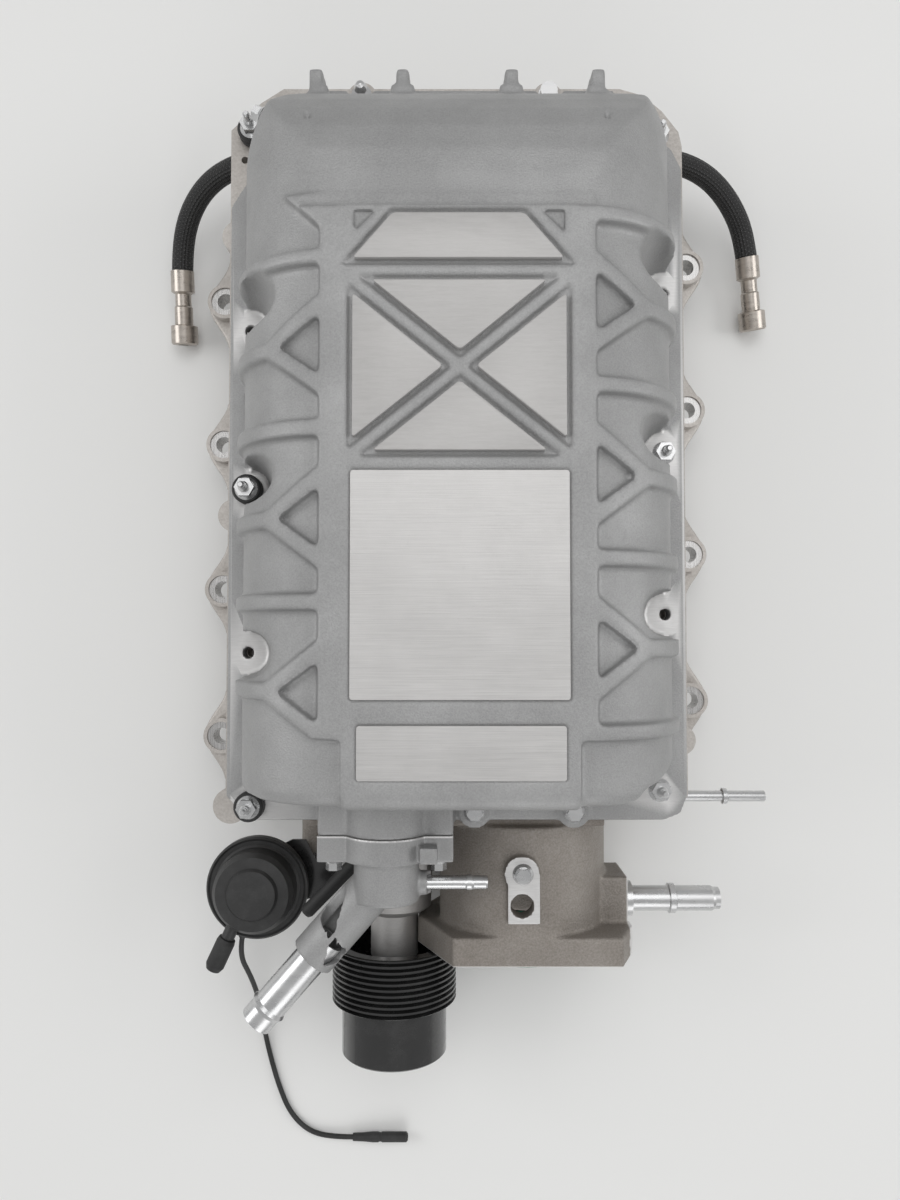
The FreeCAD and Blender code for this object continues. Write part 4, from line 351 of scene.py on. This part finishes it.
milled = {"Line Stretch": (4, 40, 40), "Color": grey(0.74, 0.01), "Dark Color": grey(0.60, 0.01),
          "Roughness": 0.42}
materials = {
    "rawCasting": makeMaterial("rawCasting", "cast", {
        "Color": grey(0.55, 0.05), "Dark Color": grey(0.38, 0.07),
        "Grain Scale": 700.0, "Grain Depth": 0.45,
        "Roughness": 0.5}, metallic=0.55),
    "lidCasting": makeMaterial("lidCasting", "cast", {
        "Color": grey(0.40), "Dark Color": grey(0.29),
        "Grain Scale": 1100.0, "Grain Depth": 0.5,
        "Roughness": 0.5}, metallic=0.45, machined=milled),
    "ductCasting": makeMaterial("ductCasting", "cast", {
        "Color": grey(0.34, 0.08), "Dark Color": grey(0.19, 0.12),
        "Grain Scale": 900.0, "Grain Depth": 0.8,
        "Roughness": 0.55}, metallic=0.5, machined=milled),
    "neckCasting": makeMaterial("neckCasting", "cast", {
        "Color": grey(0.40), "Dark Color": grey(0.29),
        "Grain Scale": 1200.0, "Grain Depth": 0.3,
        "Roughness": 0.5}, metallic=0.5, machined=milled),
    "millFace": makeMaterial("millFace", "brushed", {
        "Line Stretch": (2, 50, 50), "Color": grey(0.56, 0.02),
        "Dark Color": grey(0.44, 0.02), "Roughness": 0.42},
        metallic=0.7),
    "islandFace": makeMaterial("islandFace", "brushed", {
        "Line Stretch": (3, 26, 26), "Color": grey(0.52, 0.015),
        "Dark Color": grey(0.42, 0.02), "Roughness": 0.52,
        "Depth": 0.12}, metallic=0.55),
    "plateFace": makeMaterial("plateFace", "brushed", {
        "Line Stretch": (1, 90, 60), "Color": grey(0.62, 0.015), "Dark Color": grey(0.46, 0.015),
        "Roughness": 0.45, "Depth": 0.2}, metallic=0.7),
    "turnedSteel": makeMaterial("turnedSteel", "brushed", {
        "Line Stretch": (40, 2, 2), "Color": grey(0.62, 0.01),
        "Dark Color": grey(0.42, 0.02), "Roughness": 0.27},
        metallic=0.95),
    "zincSteel": makeMaterial("zincSteel", "brushed", {
        "Line Stretch": (1, 4, 1), "Color": grey(0.66),
        "Dark Color": grey(0.56, -0.01), "Roughness": 0.27,
        "Depth": 0.0}, metallic=0.92),
    "nickel": makeMaterial("nickel", "brushed", {
        "Line Stretch": (3, 12, 3), "Color": grey(0.52, 0.09),
        "Dark Color": grey(0.36, 0.10), "Roughness": 0.3,
        "Depth": 0.04}, metallic=0.9),
    "glossBlack": makeMaterial("glossBlack", "coat", {
        "Color": grey(0.012), "Dust Color": grey(0.20),
        "Dust": 0.05, "Roughness": 0.22, "Peel Depth": 0.05},
        coat=0.6),
    "charcoal": makeMaterial("charcoal", "coat", {
        "Color": grey(0.028), "Dust Color": grey(0.22),
        "Dust": 0.10, "Roughness": 0.42, "Peel Depth": 0.18}),
    "rubber": makeMaterial("rubber", "coat", {
        "Color": grey(0.016), "Dust Color": grey(0.22),
        "Dust": 0.12, "Roughness": 0.55, "Peel Scale": 1200.0,
        "Peel Depth": 0.2}),
    "greenSeal": makeMaterial("greenSeal", "coat", {
        "Color": (0.01, 0.22, 0.12, 1), "Dust Color": grey(0.3), "Dust": 0.06, "Roughness": 0.45}),
}

nodeFinish = {
    "rawCasting": ["manifold_housing", "gear_cover", "rear_bearing_plate", "front_bearing_plate"],
    "lidCasting": ["lid"],
    "neckCasting": ["coolant_neck"],
    "ductCasting": ["inlet_housing"],
    "millFace": ["nose_housing", "drive_rotor", "driven_rotor", "intercooler_core",
                 "intercooler_front_tank", "intercooler_rear_tank"],
    "plateFace": ["emblem_plate", "name_plate"],
    "turnedSteel": ["bolt_limiters", "front_rotor_bearings", "rear_rotor_bearings", "nose_bearings",
                    "drive_rotor_shaft", "driven_rotor_shaft", "drive_gear", "driven_gear", "input_shaft",
                    "drive_coupling", "bypass_shaft", "bypass_plate", "bypass_lever", "actuator_rod"],
    "zincSteel": ["flange_bolts", "lid_studs", "lid_nuts", "bleed_screw", "rear_studs", "bracket_screws",
                  "tube_nipple", "coolant_pipe", "vent_pipe", "quick_connect_pipe", "vacuum_port_pipe",
                  "crossover_pipe", "pulley_bolt"],
    "nickel": ["hose_fitting_left", "hose_fitting_right"],
    "glossBlack": ["pulley", "actuator_bracket"],
    "charcoal": ["actuator_can", "actuator_cap"],
    "rubber": ["nipple_cap", "breather_tube", "stud_grommets", "head_seals", "nose_seal", "lid_gasket",
               "pipe_clips", "vacuum_connector"],
    "greenSeal": ["inlet_seal"]}
for finish, names in nodeFinish.items():
    for name in names:
        dress(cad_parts[name], materials[finish])
print("materials made:", len(materials))


# cords: two braided hoses and the thin vacuum line, their routes in millimetres

hoseLook = {"radius": 7.4 * mm, "smoothness": 8, "weavePitch": 2.2 * mm, "weaveLength": 0.157,
            "weaveSlant": 1.4, "threadGrey": 0.012, "fleckGrey": 0.10}
lineLook = {"radius": 1.7 * mm, "smoothness": 5}
leftPoints = [(-96, 212, 62), (-121, 212, 62), (-148, 211, 57.5), (-172, 202.5, 47.5), (-188.5, 185, 35.5),
              (-196, 161, 24), (-196.5, 139, 18.5)]
rightPoints = [(96, 212, 62), (122, 212, 62), (149, 213.5, 57.5), (174, 208, 48), (194, 193.5, 36),
               (207, 173, 25), (211, 149, 18.8)]
linePoints = [(-139.2, -305.3, 65), (-142.6, -319.3, 58.8), (-139.5, -341, 38), (-138.5, -362, 18),
              (-138, -384, 5), (-134, -407, 1.7), (-127, -431, 1.7), (-118.5, -451, 1.7), (-105, -464, 1.7),
              (-88, -467.5, 2.6), (-73, -467, 3.5)]


def cordCurve(name, points, look):
    curve = bpy.data.curves.new(name, "CURVE")
    curve.dimensions = "3D"
    curve.bevel_depth = look["radius"]
    curve.bevel_resolution = look["smoothness"]
    curve.use_fill_caps = True
    spline = curve.splines.new("NURBS")
    spline.points.add(len(points) - 1)
    for spot, (x, y, z) in zip(spline.points, points):
        spot.co = (x * mm, y * mm, z * mm, 1)
    spline.order_u = 3
    spline.use_endpoint_u = True
    spline.resolution_u = 16
    piece = bpy.data.objects.new(name, curve)
    scene.collection.objects.link(piece)
    return piece


def makeBraidMaterial():
    # the weave runs round and along the hose on the curve's own UV: u along, v around
    material = bpy.data.materials.new("braid")
    material.use_nodes = True
    tree = material.node_tree
    shader = tree.nodes["Principled BSDF"]
    uv = tree.nodes.new("ShaderNodeTexCoord").outputs["UV"]
    split = tree.nodes.new("ShaderNodeSeparateXYZ")
    tree.links.new(uv, split.inputs[0])
    length = hoseLook["weaveLength"]
    pitch = hoseLook["weavePitch"]
    around = round(2 * math.pi * hoseLook["radius"] / pitch)
    turns = 2 * math.pi * length / pitch / hoseLook["weaveSlant"]
    along = mathNode(tree, "MULTIPLY", split.outputs[0], turns)
    turn = mathNode(tree, "MULTIPLY", split.outputs[1], 2 * math.pi * around / 2)
    first = mathNode(tree, "SINE", mathNode(tree, "ADD", along, turn), 0.0)
    second = mathNode(tree, "SINE", mathNode(tree, "SUBTRACT", along, turn), 0.0)
    weave = mathNode(tree, "MULTIPLY", first, second)
    height = rangeNode(tree, weave, -1.0, 1.0)
    fleck = rangeNode(tree, mathNode(tree, "MULTIPLY", first, rangeNode(tree, second, 0.2, 1.0)), 0.55, 0.9)
    dark = tree.nodes.new("ShaderNodeRGB")
    dark.outputs[0].default_value = grey(hoseLook["threadGrey"])
    light = tree.nodes.new("ShaderNodeRGB")
    light.outputs[0].default_value = grey(hoseLook["fleckGrey"])
    tree.links.new(mixNode(tree, fleck, dark.outputs[0], light.outputs[0]), shader.inputs["Base Color"])
    shader.inputs["Roughness"].default_value = 0.5
    tree.links.new(bumpNode(tree, height, 0.9, 0.0008), shader.inputs["Normal"])
    return material


materials["braid"] = makeBraidMaterial()
hoseLeft = cordCurve("hoseLeft", leftPoints, hoseLook)
hoseRight = cordCurve("hoseRight", rightPoints, hoseLook)
vacuumLine = cordCurve("vacuumLine", linePoints, lineLook)
for hose, points, length, node, fitting in (
        (hoseLeft, leftPoints, 0.1557, "hose_left", "hose_fitting_left"),
        (hoseRight, rightPoints, 0.1588, "hose_right", "hose_fitting_right")):
    dress(hose, materials["braid"])
    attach(hose, "housing")
    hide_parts(node)
dress(vacuumLine, materials["rubber"])
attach(vacuumLine, "housing")
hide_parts("vacuum_line")
print("cords laid")

# the lid: cast skin with soft ribs, and crisp milled islands in their grooves

lidLook = {"voxel": 1.2 * mm, "softPasses": 12, "triangles": 185000, "top": 206.0, "softFrom": 134,
           "crispHalf": 62, "crispFront": -190, "crispRear": 112, "crispWell": 15}
islandLook = {"grooveGap": 3.0, "grooveDepth": 2.6, "root": 0.5, "proud": 1, "round": 2.2, "edge": 0.5,
              "clear": 9}
wellLook = {"radius": 12.8, "lean": 0.22, "floor": 130.05, "height": 90, "padLow": 128, "padHigh": 131,
            "padReach": 13}
islands = {
    "islandRear": [(-33.5, 107), (34, 107), (54.5, 83.5), (-54, 83.5)],
    "islandBack": [(-44, 72.3), (45.5, 72.3), (1, 36)],
    "islandLeft": [(-53.8, 65.5), (-7.5, 28.1), (-53.8, -9)],
    "islandRight": [(55.4, 65.5), (9.3, 28.1), (55.4, -9)],
    "islandFront": [(-43.5, -15.3), (45.5, -15.3), (1, 20.5)]}
wellSpots = [(-122.5, -119.5), (-122.5, -24), (-122.5, 71.5), (122.5, -97), (122.5, -1.5), (122.5, 94),
             (-120, -208), (118.5, -199.5)]


def polygonPrism(name, corners, low, high, roundness=0.0, grow=0.0):
    # a disc with one vertex per corner, its corners put in place, then extruded up
    deselectAll()
    bpy.ops.mesh.primitive_circle_add(vertices=len(corners), radius=1, fill_type="NGON", location=(0, 0, 0))
    piece = addedPiece(name)
    count = len(corners)
    turning = sum((corners[i][0] - corners[i - 1][0]) * (corners[i][1] + corners[i - 1][1])
                  for i in range(count))
    ordered = corners if turning < 0 else list(reversed(corners))
    for index, vertex in enumerate(piece.data.vertices):
        here = Vector(ordered[index])
        back = (Vector(ordered[index - 1]) - here).normalized()
        ahead = (Vector(ordered[(index + 1) % count]) - here).normalized()
        half = back.angle(ahead) / 2
        outward = -(back + ahead).normalized()
        spot = here + outward * grow / math.sin(half)
        vertex.co = (spot.x * mm, spot.y * mm, low * mm)
    makeActive(piece)
    bpy.ops.object.mode_set(mode="EDIT")
    bpy.ops.mesh.select_all(action="SELECT")
    if roundness:
        bpy.ops.mesh.bevel(offset=roundness * mm, segments=4, affect="VERTICES")
        bpy.ops.mesh.select_all(action="SELECT")
    bpy.ops.mesh.extrude_region_move(TRANSFORM_OT_translate={"value": (0, 0, (high - low) * mm)})
    bpy.ops.mesh.select_all(action="SELECT")
    bpy.ops.mesh.normals_make_consistent(inside=False)
    bpy.ops.object.mode_set(mode="OBJECT")
    return piece


def cutWith(piece, tool):
    applyModifier(piece, "BOOLEAN", operation="DIFFERENCE", object=tool, solver="EXACT")
    bpy.data.objects.remove(tool)


def softSkin(piece, look, isSoft):
    # even skin first, then only the cast places are softened, then flat places give up their triangles
    applyModifier(piece, "REMESH", mode="VOXEL", voxel_size=look["voxel"], adaptivity=0.0)
    softGroup = piece.vertex_groups.new(name="soft")
    chosen = [vertex.index for vertex in piece.data.vertices if isSoft(*[c / mm for c in vertex.co])]
    softGroup.add(chosen, 1.0, "REPLACE")
    applyModifier(piece, "SMOOTH", factor=0.5, iterations=look["softPasses"], vertex_group="soft")
    count = sum(len(face.vertices) - 2 for face in piece.data.polygons)
    if count > look["triangles"]:
        applyModifier(piece, "DECIMATE", ratio=look["triangles"] / count)
    piece.vertex_groups.clear()
    smoothByAngle(piece, 40)


def markMachined(piece, rule):
    marks = piece.data.attributes.new("machined", "FLOAT", "POINT")
    marks.data.foreach_set("value", [rule(*[c / mm for c in vertex.co]) for vertex in piece.data.vertices])


def nearWell(x, y, reach):
    return any((x - wx) ** 2 + (y - wy) ** 2 < reach ** 2 for wx, wy in wellSpots)


lidSkin = copyOfNode("lid", "lidSkin")

# the room inside can't be seen, so it is filled before the side wells lean in through the shoulder
roomLook = {"low": 121, "steps": [(117, 210, 150), (114, 209, 158), (111, 207, 166), (107.5, 201, 174),
                                  (103, 196, 182), (97, 190, 188), (78, 181, 195)]}
for half, rear, top in roomLook["steps"]:
    plan = [(-half, -160), (-min(half, 100), -186), (66, -188), (min(half, 100), -176), (half, -156),
            (half, 164), (min(half, 105), min(181, rear - 2)), (min(half, 85), rear), (-min(half, 79), rear),
            (-min(half, 93), min(187, rear - 2)), (-min(half, 107), 166), (-half, 148)]
    filler = polygonPrism("filler", plan, roomLook["low"], top)
    applyModifier(lidSkin, "BOOLEAN", operation="UNION", object=filler, solver="EXACT")
    bpy.data.objects.remove(filler)

# the dome falls away to the rear in one long curve, and the four rear lugs are kept
slopeLook = {"half": 160, "profile": [(112, 200.6), (130, 200.2), (145, 198.6), (160, 194.5), (172, 188.5),
                                      (183, 179), (192, 168), (200, 156), (206.5, 145), (210.5, 136),
                                      (211, 131.5), (240, 131.5), (240, 232), (112, 232)]}
lugLook = {"places": (-82.4, -31.7, 32, 83.2), "half": 7, "front": 196, "rear": 250, "low": 120,
           "high": 145}
sloper = polygonPrism("sloper", slopeLook["profile"], -slopeLook["half"], slopeLook["half"])
makeActive(sloper)
for vertex in sloper.data.vertices:
    vertex.co = (vertex.co.z, vertex.co.x, vertex.co.y)
mergeDoubles(sloper)
for lugX in lugLook["places"]:
    left = lugX - lugLook["half"]
    right = lugX + lugLook["half"]
    lug = [(left, lugLook["front"]), (right, lugLook["front"]),
           (right, lugLook["rear"]), (left, lugLook["rear"])]
    cutWith(sloper, polygonPrism("lugKeeper", lug, lugLook["low"], lugLook["high"]))
cutWith(lidSkin, sloper)
for wellX, wellY in wellSpots:
    side = 1 if wellX > 0 else -1
    deselectAll()
    bpy.ops.mesh.primitive_cylinder_add(
        vertices=40, radius=wellLook["radius"] * mm, depth=wellLook["height"] * mm,
        location=(wellX * mm, wellY * mm, (wellLook["floor"] + wellLook["height"] / 2) * mm))
    wellTool = addedPiece("wellTool")
    for vertex in wellTool.data.vertices:
        if vertex.co.z > 0:
            vertex.co.x -= side * wellLook["lean"] * wellLook["height"] * mm
    cutWith(lidSkin, wellTool)
grooveFloor = lidLook["top"] - islandLook["grooveDepth"]
for key, corners in islands.items():
    cutWith(lidSkin, polygonPrism(key + "Groove", corners, grooveFloor, lidLook["top"] + islandLook["clear"],
                                  grow=islandLook["grooveGap"]))


def isSoftLid(x, y, z):
    inCrisp = abs(x) < lidLook["crispHalf"] and lidLook["crispFront"] < y < lidLook["crispRear"]
    return z > lidLook["softFrom"] and not inCrisp and not nearWell(x, y, lidLook["crispWell"])


def isPad(x, y, z):
    return float(wellLook["padLow"] < z < wellLook["padHigh"] and nearWell(x, y, wellLook["padReach"]))


softSkin(lidSkin, lidLook, isSoftLid)
markMachined(lidSkin, isPad)
dress(lidSkin, materials["lidCasting"])
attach(lidSkin, "housing")
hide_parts("lid")
for key, corners in islands.items():
    island = polygonPrism(key, corners, grooveFloor - islandLook["root"],
                          lidLook["top"] + islandLook["proud"], roundness=islandLook["round"])
    applyModifier(island, "BEVEL", width=islandLook["edge"] * mm, segments=2, limit_method="ANGLE",
                  angle_limit=math.radians(60))
    smoothByAngle(island, 30)
    dress(island, materials["islandFace"])
    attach(island, "housing")
print("lid done:", len(lidSkin.data.polygons), "faces")

# inlet duct and coolant neck: coarse and fine castings

ductLook = {"voxel": 1.1 * mm, "softPasses": 8, "triangles": 120000, "softFront": -306, "softRear": -192,
            "softTop": 117, "softRight": 107, "milledTop": 117.2, "milledRight": 107.8, "milledFront": -308}
neckLook = {"voxel": 0.8 * mm, "softPasses": 8, "triangles": 70000, "joint": -225}


def isSoftDuct(x, y, z):
    inLength = ductLook["softFront"] < y < ductLook["softRear"]
    return inLength and z < ductLook["softTop"] and x < ductLook["softRight"]


def isMilledDuct(x, y, z):
    return float(z > ductLook["milledTop"] or x > ductLook["milledRight"] or y < ductLook["milledFront"])


ductSkin = copyOfNode("inlet_housing", "ductSkin")
softSkin(ductSkin, ductLook, isSoftDuct)
markMachined(ductSkin, isMilledDuct)
dress(ductSkin, materials["ductCasting"])
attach(ductSkin, "housing")
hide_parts("inlet_housing")

neckSkin = copyOfNode("coolant_neck", "neckSkin")
softSkin(neckSkin, neckLook, lambda x, y, z: y < neckLook["joint"])
markMachined(neckSkin, lambda x, y, z: float(y > neckLook["joint"]))
dress(neckSkin, materials["neckCasting"])
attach(neckSkin, "housing")
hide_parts("coolant_neck")
print("duct and neck done")


# lower head flanges: a flowing scallop of casting round every bolt boss

scallopLook = {"bossX": 160, "back": 1, "reach": 14, "fullness": 0.9, "inner": 140, "halfBase": 31,
               "steps": 12, "low": 26, "high": 36.4, "hole": 9.8, "edge": 1.6,
               "left": (-178, -78, 22, 122), "right": (-154, -54, 46, 146)}


def scallopOutline(side, bossY):
    steps = scallopLook["steps"]
    outer = []
    for step in range(-steps, steps + 1):
        along = step / steps
        swell = math.cos(along * math.pi / 2) ** 2
        reach = scallopLook["reach"] * swell ** scallopLook["fullness"]
        outer.append((side * (scallopLook["bossX"] - scallopLook["back"] + reach),
                      bossY + along * scallopLook["halfBase"]))
    inner = side * scallopLook["inner"]
    return [(inner, outer[0][1])] + outer + [(inner, outer[-1][1])]


for side, key in ((-1, "left"), (1, "right")):
    for number, bossY in enumerate(scallopLook[key], 1):
        scallop = polygonPrism(f"scallop_{key}_{number}", scallopOutline(side, bossY), scallopLook["low"],
                               scallopLook["high"])
        deselectAll()
        bpy.ops.mesh.primitive_cylinder_add(vertices=48, radius=scallopLook["hole"] * mm, depth=0.04,
                                            location=(side * scallopLook["bossX"] * mm, bossY * mm, 0.03))
        cutWith(scallop, addedPiece("scallopHole"))
        applyModifier(scallop, "BEVEL", width=scallopLook["edge"] * mm, segments=3, limit_method="ANGLE",
                      angle_limit=math.radians(50))
        smoothByAngle(scallop, 40)
        dress(scallop, materials["rawCasting"])
        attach(scallop, "housing")
print("head flange scallops done")
